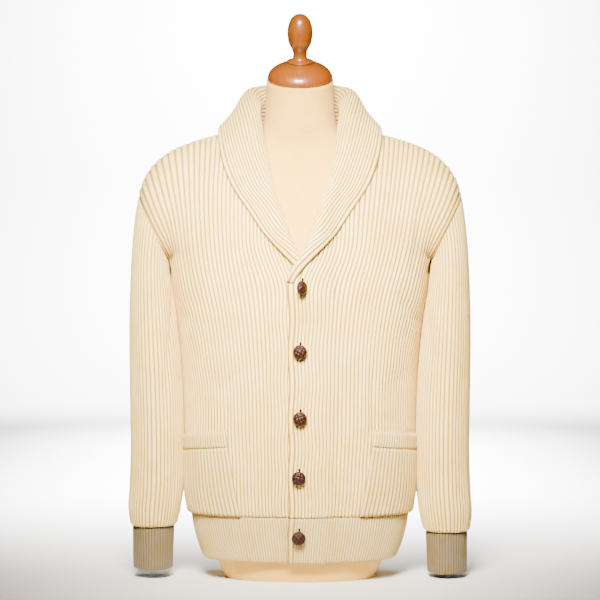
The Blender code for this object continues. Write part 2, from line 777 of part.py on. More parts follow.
def lifted(name, hand, points, heights, material):
    """A piece that lies on a front, made from the front's own points moved out."""
    way = normals(points)
    points = points + way * (COVER + LAID_ON)
    if hand == "right":
        points[..., 0] *= -1
        way[..., 0] *= -1
    return ribbed_wall(name, points, way, heights, material, step=FINE_STEP)


def collar_lines(place):
    """The collar's five lines at some places: the last two axes are the line and x, y, z."""
    return np.stack(
        [
            np.stack(
                [smooth(COLLAR["place"], COLLAR[f"{line}_{axis}"], place) for axis in "xyz"],
                axis=-1,
            )
            for line in COLLAR_LINES
        ],
        axis=-2,
    )


def collar_width(lines):
    """Lengths from the free edge to each of the five lines."""
    steps = np.linalg.norm(np.diff(lines, axis=-2), axis=-1)
    return np.concatenate([np.zeros(steps.shape[:-1] + (1,)), np.cumsum(steps, axis=-1)], axis=-1)


def collar_point(place, ribs_in):
    """The collar's plain face at a place, so many shares of its ribs in from the free edge."""
    lines = collar_lines(place)
    knots = collar_width(lines)
    full = collar_width(collar_lines(np.minimum(place, COLLAR_FULL)))[..., -1]
    along = np.minimum(ribs_in * full, knots[..., -1])
    slopes = np.empty_like(lines)
    step = np.diff(knots, axis=-1)[..., None]
    chord = np.diff(lines, axis=-2) / step
    slopes[..., 0, :] = chord[..., 0, :]
    slopes[..., -1, :] = chord[..., -1, :]
    before, after = step[..., :-1, :], step[..., 1:, :]
    slopes[..., 1:-1, :] = (chord[..., :-1, :] * after + chord[..., 1:, :] * before) / (before + after)
    result = np.zeros(lines.shape[:-2] + (3,))
    for part in range(len(COLLAR_LINES) - 1):
        low, high = knots[..., part], knots[..., part + 1]
        inside = (along >= low) & ((along < high) | (part == len(COLLAR_LINES) - 2))
        width = (high - low)[..., None]
        t = ((along - low) / (high - low))[..., None]
        piece = (
            (2 * t**3 - 3 * t**2 + 1) * lines[..., part, :]
            + (t**3 - 2 * t**2 + t) * width * slopes[..., part, :]
            + (3 * t**2 - 2 * t**3) * lines[..., part + 1, :]
            + (t**3 - t**2) * width * slopes[..., part + 1, :]
        )
        result = np.where(inside[..., None], piece, result)
    return result


def collar_start(ribs_in, end):
    """The place nearest the front end that each rib reaches."""
    places = np.linspace(COLLAR_FULL, end, 400)
    widths = collar_width(collar_lines(places))[:, -1]
    return np.interp(-ribs_in * widths[0], -widths, places)


def make_collar(material):
    ribs_in = rib_edges(COLLAR_RIBS, BORDER)
    share = np.linspace(-1, 1, COLLAR_ROWS)[:, None]
    end = np.where(
        share < 0,
        collar_start(ribs_in, COLLAR_END["left"])[None, :],
        collar_start(ribs_in, COLLAR_END["right"])[None, :],
    )
    place = np.abs(share) * end
    points = collar_point(place, ribs_in[None, :] + 0 * place)
    at_front = ease(place, COLLAR_FULL, COLLAR_CROSSES)
    lift = front_lift(points[..., 0], points[..., 2]) * at_front
    points[..., 1] -= np.where(share < 0, lift, 0)
    points[..., 0] *= np.where(share < 0, 1, -1)
    way = normals(points)
    way *= np.sign(way[COLLAR_ROWS // 2, 0, 1])
    ribbed_wall("collar", points, way, rib_heights(COLLAR_RIBS), material, step=FINE_STEP)


def make_form(material):
    turn = 2 * math.pi * np.arange(FORM_SIDES) / FORM_SIDES
    power = 2 / FORM_ROUND
    out = np.sign(np.cos(turn)) * np.abs(np.cos(turn)) ** power
    back = np.sign(np.sin(turn)) * np.abs(np.sin(turn)) ** power
    rings = []
    for row in range(len(FORM["height"])):
        ring = {name: FORM[name][row] for name in FORM}
        y = np.where(back < 0, ring["front"], ring["back"]) * back
        rings.append(np.stack([ring["half_width"] * out, y, ring["height"] + ring["slope"] * y], -1))
    points = np.concatenate(rings)
    faces = []
    for row in range(len(rings) - 1):
        for side in range(FORM_SIDES):
            after = (side + 1) % FORM_SIDES
            low, high = row * FORM_SIDES, (row + 1) * FORM_SIDES
            faces.append((low + side, low + after, high + after, high + side))
    faces.append(tuple(reversed(range(FORM_SIDES))))
    faces.append(tuple(range(len(points) - FORM_SIDES, len(points))))
    add_mesh("form", points, faces, material)


def turned(name, outline, steps, material, place, turn):
    """A turned solid: its outline runs from the top to the bottom, at +X."""
    points = [(radius, 0.0, height) for radius, height in outline]
    edges = [(corner, corner + 1) for corner in range(len(points) - 1)]
    mesh = bpy.data.meshes.new(name)
    mesh.from_pydata(points, edges, [])
    obj = bpy.data.objects.new(name, mesh)
    bpy.data.collections[COLLECTION].objects.link(obj)
    obj.data.materials.append(material)
    screw = obj.modifiers.new("turned", "SCREW")
    screw.steps = steps
    screw.render_steps = steps
    screw.use_merge_vertices = True
    screw.merge_threshold = 1e-5
    obj.location = place
    obj.rotation_euler = turn


def make_cap_and_finial(material):
    lean = (math.radians(CAP_LEAN), 0, 0)
    cap = ((0.0, CAP_OUTLINE[0][1]),) + CAP_OUTLINE + ((0.0, CAP_OUTLINE[-1][1]),)
    turned("neck_cap", cap, TURNED_STEPS + 8, material, CAP_PLACE, lean)
    finial = ((0.0, FINIAL_TOP),) + FINIAL_OUTLINE + ((0.0, FINIAL_OUTLINE[-1][1]),)
    turned("finial", finial, TURNED_STEPS, material, CAP_PLACE, lean)


def cloth_front(x, z):
    """Depth of the left front's outer face near the centre line."""
    depth = -smooth(BODY["height"], BODY["front"], z)
    return depth - front_lift(abs(x), z)


def make_buttons(material):
    for number, (x, z, turn) in enumerate(zip(BUTTONS["x"], BUTTONS["z"], BUTTONS["turned"]), 1):
        tipped = math.radians(turn)
        radius = max(point[0] for point in BUTTON_OUTLINE)
        half = -BUTTON_OUTLINE[-1][1]
        reach = math.hypot(radius * math.sin(tipped), half * math.cos(tipped))
        place = (x, cloth_front(x, min(z, CHEST)) - reach - LAID_ON, z)
        turned(
            f"button_{number}", BUTTON_OUTLINE, BUTTON_STEPS, material, place,
            (math.pi / 2, 0, tipped),
        )


def main():
    clear_scene()
    bpy.context.scene.collection.children.link(bpy.data.collections.new(COLLECTION))
    materials = make_materials()
    wool = materials["wool"]
    make_form(materials["cotton"])
    make_cap_and_finial(materials["wood"])
    make_buttons(materials["leather"])
    make_collar(wool)
    make_back(wool)
    for hand in ("left", "right"):
        make_front(hand, wool)
        make_sleeve(hand, wool)
        make_cuff(hand, wool)
        make_hem(f"front_{hand}", wool)
        make_pocket(hand, wool)
    make_hem("back", wool)


main()
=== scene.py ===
import math

import bpy
import numpy as np
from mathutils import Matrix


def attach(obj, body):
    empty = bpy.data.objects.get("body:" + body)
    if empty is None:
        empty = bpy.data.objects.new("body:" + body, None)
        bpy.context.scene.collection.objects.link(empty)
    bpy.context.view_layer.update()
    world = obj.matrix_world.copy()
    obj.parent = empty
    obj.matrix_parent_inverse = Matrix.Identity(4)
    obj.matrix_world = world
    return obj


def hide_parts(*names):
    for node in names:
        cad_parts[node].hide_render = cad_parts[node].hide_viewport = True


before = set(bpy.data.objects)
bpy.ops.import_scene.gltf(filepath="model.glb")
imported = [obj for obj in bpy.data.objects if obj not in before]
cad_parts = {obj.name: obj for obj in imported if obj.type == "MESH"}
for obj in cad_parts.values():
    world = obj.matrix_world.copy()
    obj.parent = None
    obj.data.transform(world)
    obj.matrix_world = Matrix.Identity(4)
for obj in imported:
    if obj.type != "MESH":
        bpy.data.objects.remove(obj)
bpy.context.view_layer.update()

# Everything is in metres. The front faces -Y, +Z is up and the wearer's left is +X.
print("cardigan: frame loaded")


def table(names, rows):
    # one array for each named column
    return dict(zip(names, np.array(rows, float).T))


def cubic(t, step, start, startSlope, end, endSlope):
    # cubic over one step, t from 0 to 1, from a value and slope to the next value and slope
    return (
        (2 * t**3 - 3 * t**2 + 1) * start
        + (t**3 - 2 * t**2 + t) * step * startSlope
        + (3 * t**2 - 2 * t**3) * end
        + (t**3 - t**2) * step * endSlope
    )


def smooth(xs, ys, x):
    # cubic through the points (xs, ys), each passed at the slope of its neighbours
    xs = np.asarray(xs, float)
    ys = np.asarray(ys, float)
    slopes = np.gradient(ys, xs)
    x = np.clip(np.asarray(x, float), xs[0], xs[-1])
    at = np.clip(np.searchsorted(xs, x, side="right") - 1, 0, len(xs) - 2)
    step = xs[at + 1] - xs[at]
    return cubic((x - xs[at]) / step, step, ys[at], slopes[at], ys[at + 1], slopes[at + 1])


def ease(x, low, high):
    # 0 below low, 1 above high, and t^2 (3 - 2 t) between
    t = np.clip((x - low) / (high - low), 0, 1)
    return t * t * (3 - 2 * t)


def bell(x, width):
    return np.exp(-((x / width) ** 2))


def roundOff(distance, radius):
    # share of the full thickness at a distance from a cut edge that is rolled round
    thinnest = 0.03
    t = np.clip(1 - distance / radius, 0, 1)
    return np.sqrt(np.clip(1 - t * t, thinnest, 1))


def unit(way):
    return way / np.maximum(np.linalg.norm(way, axis=-1, keepdims=True), 1e-12)


def oval(angle, power):
    # a superellipse: how far out to the side and how far forward, each from -1 to 1
    out = np.sign(np.cos(angle)) * np.abs(np.cos(angle)) ** (2 / power)
    forward = np.sign(np.sin(angle)) * np.abs(np.sin(angle)) ** (2 / power)
    return out, forward


# what every knitted piece shares
cloth = {
    "wall": 0.0018,  # thickness in a valley between two ribs
    "rib": 0.0016,  # how far a rib stands out of the valleys
    "seam": 0.0003,  # gap between two sewn pieces
    "laidOn": 0.0014,  # gap under a piece that lies on another
    "rowStep": 0.0052,  # length of a face along the ribs
    "stitch": 0.0027,  # height of one knitted row
    "insideEvery": 12,  # outer columns to one column of the plain inside
    "seamDip": 0.0035,  # the ribs sink over this length before a seam
    "seamRise": 0.35,  # share of their height that is left at the seam
    "edgeRoll": 0.0024, "hemRoll": 0.0026,  # radius of a rolled front edge, and of a rolled lower edge
    "columns": (0.0, 0.14, 0.30, 0.50, 0.70, 0.86),  # places of the columns over one rib
    "borderColumns": 14, "fineColumns": 26,  # columns of a wide border, and of a rib that needs more
    "round": 0.9,  # power of the sine that shapes a rib: the lower, the broader its crest
    # a wide border is a low roll along its edge and one broad rib beside it: the share of the
    # border that each takes, the roll's height, and the powers of their sines
    "roll": 0.24, "broad": 0.60, "rollRise": 0.45, "rollRound": 0.6, "broadRound": 0.5,
}
cover = cloth["wall"] + cloth["rib"]
plainStart = 100  # rib numbers start here on a piece that has no wide border


def ribColumns(count, border=1.0, fine=()):
    # share across the panel and rib number of each column; the first rib may be a wide border,
    # and the ribs in fine have more columns because many of them end one after the other
    steps = np.array(cloth["columns"])
    first = steps if border == 1.0 else np.linspace(0, 1, cloth["borderColumns"] + 1)[:-1]
    closer = np.arange(cloth["fineColumns"]) / cloth["fineColumns"]
    ribs = [rib + (closer if rib in fine else steps) for rib in range(1, count)]
    ribs = np.concatenate([first] + ribs + [[count]])
    across = np.where(ribs < 1, ribs * border, ribs + border - 1)
    return across / across[-1], ribs


def backColumns(count, fine=()):
    # both halves of the back: share from its middle, rib number, and which side of the middle
    half, halfRibs = ribColumns(count // 2, 1.0, fine)
    sides = np.sign(np.concatenate([-half[:0:-1], half]) + 1e-9)
    across = np.concatenate([half[:0:-1], half])
    return across, np.concatenate([-halfRibs[:0:-1], halfRibs]) + plainStart, sides


def ribRise(ribs, border=1.0):
    # 0 in a valley and 1 on a crest: sin(pi f)^round over each rib, and over a wide border the
    # greater of its edge's roll and its broad rib
    rise = np.sin(np.pi * (ribs - np.floor(ribs))) ** cloth["round"]
    if border != 1.0:
        inRib = np.clip((ribs - cloth["roll"]) / cloth["broad"], 0, 1)
        wide = np.maximum(np.sin(np.pi * inRib), 0) ** cloth["broadRound"]
        inRoll = np.clip(ribs / cloth["roll"], 0, 1)
        edge = cloth["rollRise"] * np.sin(np.pi * inRoll) ** cloth["rollRound"]
        rise = np.where(ribs < 1, np.maximum(wide, edge), rise)
    return rise


def ribHeights(ribs, fade, border=1.0, share=1.0):
    # thickness of the cloth: its wall, and ribs of a share of their full height
    return cloth["wall"] + share * cloth["rib"] * ribRise(ribs, border)[None, :] * fade


def seamFade(distance):
    # the ribs sink a little before a seam
    left = cloth["seamRise"]
    return left + (1 - left) * ease(distance, 0, cloth["seamDip"])


def rowShares(length):
    return np.linspace(0, 1, max(int(round(length / cloth["rowStep"])) + 1, 4))


def normals(points, closed=False):
    if closed:
        wrapped = np.concatenate([points[:, -1:], points, points[:, :1]], axis=1)
        across = np.gradient(wrapped, axis=1)[:, 1:-1]
    else:
        across = np.gradient(points, axis=1)
    return unit(np.cross(across, np.gradient(points, axis=0)))


def tubeWays(points):
    # ways out of a tube: by its normals, and straight away from its middle line
    way = normals(points, closed=True)
    away = points - points.mean(axis=1, keepdims=True)
    return way * np.sign((way * away).sum()), unit(away)


def putOnSide(hand, points, way):
    # the wearer's right is the left one's mirror image
    if hand == "right":
        points[..., 0] *= -1
        way[..., 0] *= -1


def lengthsAlong(points):
    # length of each column from the first row
    steps = np.linalg.norm(np.diff(points, axis=0), axis=-1)
    return np.concatenate([np.zeros((1, points.shape[1])), np.cumsum(steps, axis=0)])


def gridQuads(rows, columns, closed):
    row = np.arange(rows - 1)[:, None] * columns
    last = columns if closed else columns - 1
    column = np.arange(last)[None, :]
    after = (column + 1) % columns
    return np.stack([row + column, row + after, row + columns + after, row + columns + column], -1)


def putMesh(name, points, faces, material, uv=None):
    # uv holds the rib number and the row of knitting at each corner of each face
    mesh = bpy.data.meshes.new(name)
    mesh.from_pydata(points.tolist(), [], faces)
    if uv is not None:
        layer = mesh.uv_layers.new(name="knit")
        layer.data.foreach_set("uv", np.ascontiguousarray(uv, np.float32).ravel())
    mesh.polygons.foreach_set("use_smooth", np.ones(len(mesh.polygons), bool))
    mesh.update()
    piece = bpy.data.objects.new(name, mesh)
    bpy.context.scene.collection.objects.link(piece)
    mesh.materials.append(material)
    return piece


def clothPiece(name, plain, way, heights, ribs, material, closed=False, insideEvery=None):
    # a closed wall: the plain face, and an outer face that stands off it by heights along way;
    # the inside has fewer columns, and one face with many corners closes each of its strips
    rows, columns = plain.shape[:2]
    outer = plain + way * heights[..., None]
    every = insideEvery or cloth["insideEvery"]
    strips = max(columns // every, 3)
    last = columns if closed else columns - 1
    meets = np.round(np.linspace(0, last, strips + 1)).astype(int)
    picked = meets[:-1] if closed else meets
    inner = plain[:, picked]
    base = rows * columns
    inColumns = inner.shape[1]
    points = np.concatenate([outer.reshape(-1, 3), inner.reshape(-1, 3)])

    outQuads = gridQuads(rows, columns, closed).reshape(-1, 4)
    inQuads = base + gridQuads(rows, inColumns, closed).reshape(-1, 4)[:, ::-1]
    row, column = (rows - 1) // 2, last // 4
    corners = points[outQuads[row * last + column]]
    spin = np.cross(corners[2] - corners[0], corners[3] - corners[1])
    outward = (spin * way[row, column]).sum() > 0

    lengths = lengthsAlong(plain) / cloth["stitch"]
    widths = np.broadcast_to(ribs[:columns], (rows, columns))
    place = np.concatenate([
        np.stack([widths, lengths], -1).reshape(-1, 2),
        np.stack([widths[:, picked], lengths[:, picked]], -1).reshape(-1, 2),
    ])
    sideQuads = np.zeros((0, 4), int)
    if not closed:
        row = np.arange(rows - 1)
        outside, inside = row * columns, base + row * inColumns
        sideQuads = np.concatenate([
            np.stack([outside, outside + columns, inside + inColumns, inside], -1),
            np.stack([
                outside + last, inside + strips, inside + inColumns + strips, outside + columns + last,
            ], -1),
        ])
    quads = np.concatenate([outQuads, inQuads, sideQuads])
    faces = quads.tolist()
    for strip in range(strips):
        run = [column % columns for column in range(meets[strip], meets[strip + 1] + 1)]
        here, there = strip % inColumns, (strip + 1) % inColumns
        faces.append([base + here, base + there] + run[::-1])
        end, top = base + (rows - 1) * inColumns, (rows - 1) * columns
        faces.append([end + there, end + here] + [top + column for column in run])
    if not outward:
        faces = [face[::-1] for face in faces]
    return putMesh(name, points, faces, material, np.concatenate([place[face] for face in faces]))


def putBall(name, grid, material, marks):
    # a closed ball from rows of points between two poles, each pole repeated round its row
    rows, columns = grid.shape[:2]
    inGrid = slice(columns - 1, 1 - columns)
    points, place = grid.reshape(-1, 3)[inGrid], marks.reshape(-1, 2)[inGrid]
    around = np.arange(columns)
    after = (around + 1) % columns
    lastRow = 1 + (rows - 3) * columns
    quads = 1 + gridQuads(rows - 2, columns, True).reshape(-1, 4)[:, ::-1]
    faces = np.stack([0 * around, 1 + around, 1 + after], -1).tolist() + quads.tolist()
    faces += np.stack([0 * around + len(points) - 1, lastRow + after, lastRow + around], -1).tolist()
    corners = points[quads]
    spin = np.cross(corners[:, 2] - corners[:, 0], corners[:, 3] - corners[:, 1])
    if ((corners.mean(axis=1) - points.mean(axis=0)) * spin).sum() < 0:
        faces = [face[::-1] for face in faces]
    return putMesh(name, points, faces, material, np.concatenate([place[face] for face in faces]))


def putTube(name, grid, material, downwards=False):
    # rings of points one above the other, or one below the other, closed flat at both ends
    rows, sides = grid.shape[:2]
    faces = gridQuads(rows, sides, True).reshape(-1, 4).tolist()
    faces.append(list(range(sides))[::-1])
    faces.append(list(range((rows - 1) * sides, rows * sides)))
    if downwards:
        faces = [face[::-1] for face in faces]
    return putMesh(name, grid.reshape(-1, 3), faces, material)


def declareSheet(piece, cut, *nodes):
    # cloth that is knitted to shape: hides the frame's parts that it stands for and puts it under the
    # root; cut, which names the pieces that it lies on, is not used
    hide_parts(*nodes)
    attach(piece, "root")


def declareSolid(piece, slot, *nodes):
    if nodes:
        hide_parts(*nodes)
    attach(piece, "root")


class Wire:
    # a socket in shader arithmetic: each operator adds one Math node
    def __init__(self, paint, socket):
        self.paint = paint
        self.socket = socket

    def __add__(self, other):
        return self.paint.maths("ADD", self, other)

    def __sub__(self, other):
        return self.paint.maths("SUBTRACT", self, other)

    def __rsub__(self, other):
        return self.paint.maths("SUBTRACT", other, self)

    def __mul__(self, other):
        return self.paint.maths("MULTIPLY", self, other)

    def __truediv__(self, other):
        return self.paint.maths("DIVIDE", self, other)

    def __rtruediv__(self, other):
        return self.paint.maths("DIVIDE", other, self)

    def __lt__(self, other):
        return self.paint.maths("LESS_THAN", self, other)

    def __gt__(self, other):
        return self.paint.maths("GREATER_THAN", self, other)

    __radd__ = __add__
    __rmul__ = __mul__


class Paint:
    # one material and its nodes
    def __init__(self, name):
        self.material = bpy.data.materials.new(name)
        self.material.use_nodes = True
        self.nodes = self.material.node_tree.nodes
        self.links = self.material.node_tree.links
        self.shader = self.nodes["Principled BSDF"]

    def plug(self, socket, value):
        if isinstance(value, Wire):
            self.links.new(value.socket, socket)
        elif isinstance(value, bpy.types.NodeSocket):
            self.links.new(value, socket)
        elif isinstance(value, (int, float)) and hasattr(socket.default_value, "__len__"):
            socket.default_value = (value,) * len(socket.default_value)
        else:
            socket.default_value = value

    def node(self, kind, settings=(), **values):
        # settings first, then the sockets, by name with _ for a space or by number as s0, s1
        made = self.nodes.new(kind)
        for key, value in dict(settings).items():
            setattr(made, key, value)
        for key, value in values.items():
            number = key[1:] if key[0] == "s" and key[1:].isdigit() else None
            socket = made.inputs[int(number) if number else key.replace("_", " ")]
            self.plug(socket, value)
        return made

    def maths(self, operation, *values):
        sockets = {f"s{number}": value for number, value in enumerate(values)}
        return Wire(self, self.node("ShaderNodeMath", {"operation": operation}, **sockets).outputs[0])

    def sine(self, angle):
        return self.maths("SINE", angle)

    def part(self, value):
        return self.maths("FRACT", value)

    def size(self, value):
        return self.maths("ABSOLUTE", value)

    def less(self, one, other):
        return self.maths("MINIMUM", one, other)

    def step(self, value, low, high):
        # soft step from 0 at low to 1 at high
        made = self.node(
            "ShaderNodeMapRange", {"interpolation_type": "SMOOTHSTEP"},
            Value=value, From_Min=low, From_Max=high,
        )
        return Wire(self, made.outputs["Result"])

    def mix(self, one, other, share):
        made = self.node("ShaderNodeMix", {"data_type": "RGBA"}, Factor=share)
        self.plug(made.inputs[6], one)
        self.plug(made.inputs[7], other)
        return made.outputs[2]

    def noise(self, place, scale, detail, rough):
        made = self.node("ShaderNodeTexNoise", Vector=place, Scale=scale, Detail=detail, Roughness=rough)
        return Wire(self, made.outputs["Fac"])

    def places(self):
        return self.node("ShaderNodeTexCoord").outputs["Object"]

    def parts(self, place):
        split = self.node("ShaderNodeSeparateXYZ", s0=place)
        return [Wire(self, split.outputs[axis]) for axis in "XYZ"]

    def knitPlace(self):
        # rib number across and knitted row along, from the piece's own map
        return self.parts(self.node("ShaderNodeUVMap", {"uv_map": "knit"}).outputs[0])[:2]

    def stretch(self, place, scale, turn=(0, 0, 0)):
        return self.node("ShaderNodeMapping", Vector=place, Scale=scale, Rotation=turn).outputs[0]

    def bump(self, height, strength, depth):
        made = self.node("ShaderNodeBump", Height=height, Strength=strength, Distance=depth)
        self.links.new(made.outputs[0], self.shader.inputs["Normal"])

    def finish(self, **values):
        for key, value in values.items():
            self.plug(self.shader.inputs[key.replace("_", " ")], value)
        return self.material


woolLook = {
    # crest and fluff are the yarn's own colours; valley is the painted shade of the rib valleys
    "crest": (0.900, 0.620, 0.165), "valley": (0.340, 0.185, 0.018), "fluff": (0.940, 0.710, 0.270),
    # a darker tone is painted shade
    "shadeToneShares": (1.0, 0.97, 0.65),  # how much of a darker tone the red, green and blue take
    "valleyWidth": 0.72,  # share of a rib's half width
    "borderMiddle": 0.54, "borderHalf": 0.38,  # crest of a wide border, and from there to its valley
    "slant": 0.45,  # rows that a loop climbs from the crest of a rib to its valley
    "roughness": 0.92, "specular": 0.15,
    "sheen": 0.03, "sheenRoughness": 0.45, "sheenTint": (1.0, 0.95, 0.85, 1),
    "scatter": 0.12, "scatterRadius": (0.9, 0.6, 0.35), "scatterScale": 0.002,
    # painted shade of the valleys, relief of the stitches in metres, and tone, painted shade over the
    # whole piece: 1 is the lightest, and the hem bands, pockets and cuffs low on the body are painted
    # darker
    "kinds": {
        "rib knit": (1.0, 0.00035, 1.0),
        "band knit": (0.75, 0.00028, 0.70),
        "pocket knit": (0.9, 0.00030, 0.84),
        "cuff knit": (0.75, 0.00028, 0.20),
    },
}


def makeWool(name):
    # cream rib knit: pairs of slanted loops on the ribs, purl bars in the valleys, soft fluff, and
    # painted shade in the valleys and between the loops
    paint = Paint(name)
    valleyShade, relief, tone = woolLook["kinds"][name]
    # the tone darkens all three colours as painted shade
    crest, valleyShadeTone, fluffTone = (
        tuple(part * tone**share for part, share in zip(woolLook[layer], woolLook["shadeToneShares"])) + (1,)
        for layer in ("crest", "valley", "fluff")
    )
    rib, row = paint.knitPlace()
    place = paint.places()
    inBorder = rib < 1.0
    plainRib = paint.size(paint.part(rib) - 0.5) * 2.0  # 0 on the crest and 1 in the valley
    borderRib = paint.size(rib - woolLook["borderMiddle"]) / woolLook["borderHalf"]
    fromCrest = plainRib + (borderRib - plainRib) * inBorder
    valley = paint.step(fromCrest, 1 - woolLook["valleyWidth"], 1.02)

    loop = paint.size(paint.part(row + fromCrest * woolLook["slant"]) - 0.5) * 2.0
    bars = paint.size(paint.part(row) - 0.5) * 2.0
    fluff = paint.noise(paint.stretch(place, (1, 1, 0.6)), 900.0, 3.0, 0.65)
    patches = paint.noise(place, 26.0, 3.0, 0.55)
    yarn = paint.noise(paint.stretch(place, (1, 1, 0.12)), 420.0, 2.0, 0.5)

    shade = paint.mix(crest, fluffTone, paint.step(patches * 0.6 + fluff * 0.4, 0.36, 0.62))
    # painted shade: how much of the valley's dark tone each point takes, most in the valleys and on the
    # border's purl bars
    deepShade = valley * (0.84 + 0.30 * yarn) * valleyShade + valley * bars * inBorder * 0.25
    colour = paint.mix(shade, valleyShadeTone, paint.less(deepShade, 1.0))
    # painted shade between the loops on the crests
    colour = paint.mix(colour, valleyShadeTone, (1 - loop) * 0.10 * (1 - valley))
    knit = loop * (1 - valley) * 0.55 + bars * valley * (0.25 + 1.3 * inBorder) + fluff * 0.55
    paint.bump(knit, 0.75, relief)
    return paint.finish(
        Base_Color=colour, Roughness=woolLook["roughness"], Specular_IOR_Level=woolLook["specular"],
        Sheen_Weight=woolLook["sheen"], Sheen_Roughness=woolLook["sheenRoughness"],
        Sheen_Tint=woolLook["sheenTint"], Subsurface_Weight=woolLook["scatter"],
        Subsurface_Radius=woolLook["scatterRadius"], Subsurface_Scale=woolLook["scatterScale"],
    )


leatherLook = {
    "strip": (0.015, 0.0028, 0.0010, 1), "worn": (0.038, 0.0075, 0.0022, 1),
    # edge is painted shade for the grooves between the strips
    "edge": (0.003, 0.0007, 0.0004, 1),
    "roughness": 0.36, "specular": 0.16, "coat": 0.06, "coatRoughness": 0.22, "relief": 0.00012,
}


def makeLeather():
    # woven strips: worn lighter on their crowns, and painted shade dark in the grooves between them
    paint = Paint("woven leather")
    crown, _ = paint.knitPlace()
    place = paint.places()
    grain = paint.noise(place, 1800.0, 4.0, 0.6)
    tone = paint.noise(place, 150.0, 2.0, 0.5)
    rubbed = paint.step(crown * 0.7 + tone * 0.5, 0.55, 1.0)
    top = paint.mix(leatherLook["strip"], leatherLook["worn"], rubbed)
    # painted shade where the strips dip into the grooves
    colour = paint.mix(leatherLook["edge"], top, paint.step(crown, 0.02, 0.42))
    paint.bump(grain, 0.5, leatherLook["relief"])
    return paint.finish(
        Base_Color=colour, Roughness=leatherLook["roughness"] + 0.2 * grain,
        Specular_IOR_Level=leatherLook["specular"],
        Coat_Weight=leatherLook["coat"], Coat_Roughness=leatherLook["coatRoughness"],
    )


cottonLook = {
    "cloth": (0.780, 0.460, 0.070, 1), "shade": (0.720, 0.390, 0.050, 1),
    "thread": 2300.0,  # threads to a metre
    "roughness": 0.86, "sheen": 0.15, "relief": 0.0001,
}


def makeCotton():
    # fine jersey cover: crossed threads and a faint mottle
    paint = Paint("cotton cover")
    place = paint.places()
    x, y, z = paint.parts(place)
    turn = cottonLook["thread"] * math.pi
    weave = paint.sine((x + y * 0.7) * turn) * paint.sine(z * turn)
    mottle = paint.noise(place, 60.0, 4.0, 0.6)
    share = paint.step(mottle + weave * 0.05, 0.20, 0.80)
    paint.bump(weave + mottle * 0.2, 0.3, cottonLook["relief"])
    return paint.finish(
        Base_Color=paint.mix(cottonLook["shade"], cottonLook["cloth"], share),
        Roughness=cottonLook["roughness"], Sheen_Weight=cottonLook["sheen"],
    )


woodLook = {
    "light": (0.230, 0.060, 0.003, 1), "dark": (0.130, 0.028, 0.0015, 1),
    "lean": 22.0,  # degrees that the turned axis leans forwards
    "roughness": 0.30, "coat": 0.5, "coatRoughness": 0.06, "relief": 0.00005,
}


def makeWood():
    # honey varnish over straight grain that follows the turned axis
    paint = Paint("varnished wood")
    place = paint.stretch(paint.places(), (1, 1, 1), (-math.radians(woodLook["lean"]), 0, 0))
    wave = paint.noise(paint.stretch(place, (1, 1, 0.16)), 14.0, 3.0, 0.6)
    pores = paint.noise(paint.stretch(place, (1, 1, 0.05)), 900.0, 3.0, 0.7)
    x, y = paint.parts(place)[:2]
    rings = paint.sine((x + y * 0.45) * 900.0 + wave * 26.0)
    share = paint.step(rings * 0.06 + wave * 0.60 + pores * 0.30, 0.25, 0.85)
    paint.bump(pores, 0.1, woodLook["relief"])
    return paint.finish(
        Base_Color=paint.mix(woodLook["light"], woodLook["dark"], share),
        Roughness=woodLook["roughness"] + 0.12 * pores,
        Coat_Weight=woodLook["coat"], Coat_Roughness=woodLook["coatRoughness"],
    )


slitLook = {
    "deepShade": (0.004, 0.0022, 0.0012, 1), "fuzz": (0.010, 0.0055, 0.003, 1),
    "roughness": 0.95, "specular": 0.05,
}


def makeSlitShade():
    # painted shade: the dark inside of a buttonhole
    paint = Paint("buttonhole shade")
    fuzz = paint.noise(paint.places(), 900.0, 2.0, 0.5)
    colour = paint.mix(slitLook["deepShade"], slitLook["fuzz"], fuzz)
    return paint.finish(
        Base_Color=colour, Roughness=slitLook["roughness"], Specular_IOR_Level=slitLook["specular"],
    )


# the band, pocket and cuff knits are the same yarn with painted shade
wool, bandWoolShaded, pocketWoolShaded, cuffWoolShaded = (makeWool(name) for name in woolLook["kinds"])
leather = makeLeather()
cotton = makeCotton()
wood = makeWood()
slitShade = makeSlitShade()
print("cardigan: materials made")


# the body's surface, which the fronts, back, hem and pockets share
body = {
    "hemBottom": 0.033, "hemSeam": 0.105, "chest": 0.45,
    "ringPower": 2.6, "ringAspect": 0.65,  # a ring's superellipse, and its depth for its width
    "spread": 0.12,  # ribs widen towards the side seams by about twice this share
    "overlap": 0.019,  # each front's edge passes the centre line by this
    # the left front lies off the right one by lift, and by chestLift more from chestFrom upwards
    "lift": 0.0056, "liftEnd": 0.065, "chestLift": 0.0090, "chestFrom": 0.38,
    "archPath": 0.80,  # the way over the chest and shoulder, where the way up from the hem is 1
    "underarm": 0.17,  # share of it along the side seam, below the armhole
    "underarmGap": -0.0015,  # beyond two full walls: below 0 because the ribs sink there
    "borderRise": 0.0347,  # share of it where the front's border meets the collar's end
    "neckRibsFront": 0.365, "neckRibsBack": 0.30, "neckStart": -0.016,
    "backNeckRise": 0.060, "backNeckLow": 0.62,  # share of the way where the back's middle ends
    "frontRibs": 45, "backRibs": 84, "border": 1.75,
    "frontFine": (1, 2, 10, 11, 12, 33, 34, 35, 36), "backFine": (33, 34, 35, 36),
    # how far the sides stand out behind the sleeves that lie against them
    "sideOut": 0.0080, "sideLow": (0.120, 0.165), "sideHigh": (0.462, 0.496),
    "backHand": 0.4,  # the folds' small difference, which is 1 on the left and -1 on the right
    "bow": 0.0026, "bowEnd": (0.022, 0.060),  # the ribs' bow between two buttons, and where it ends
}
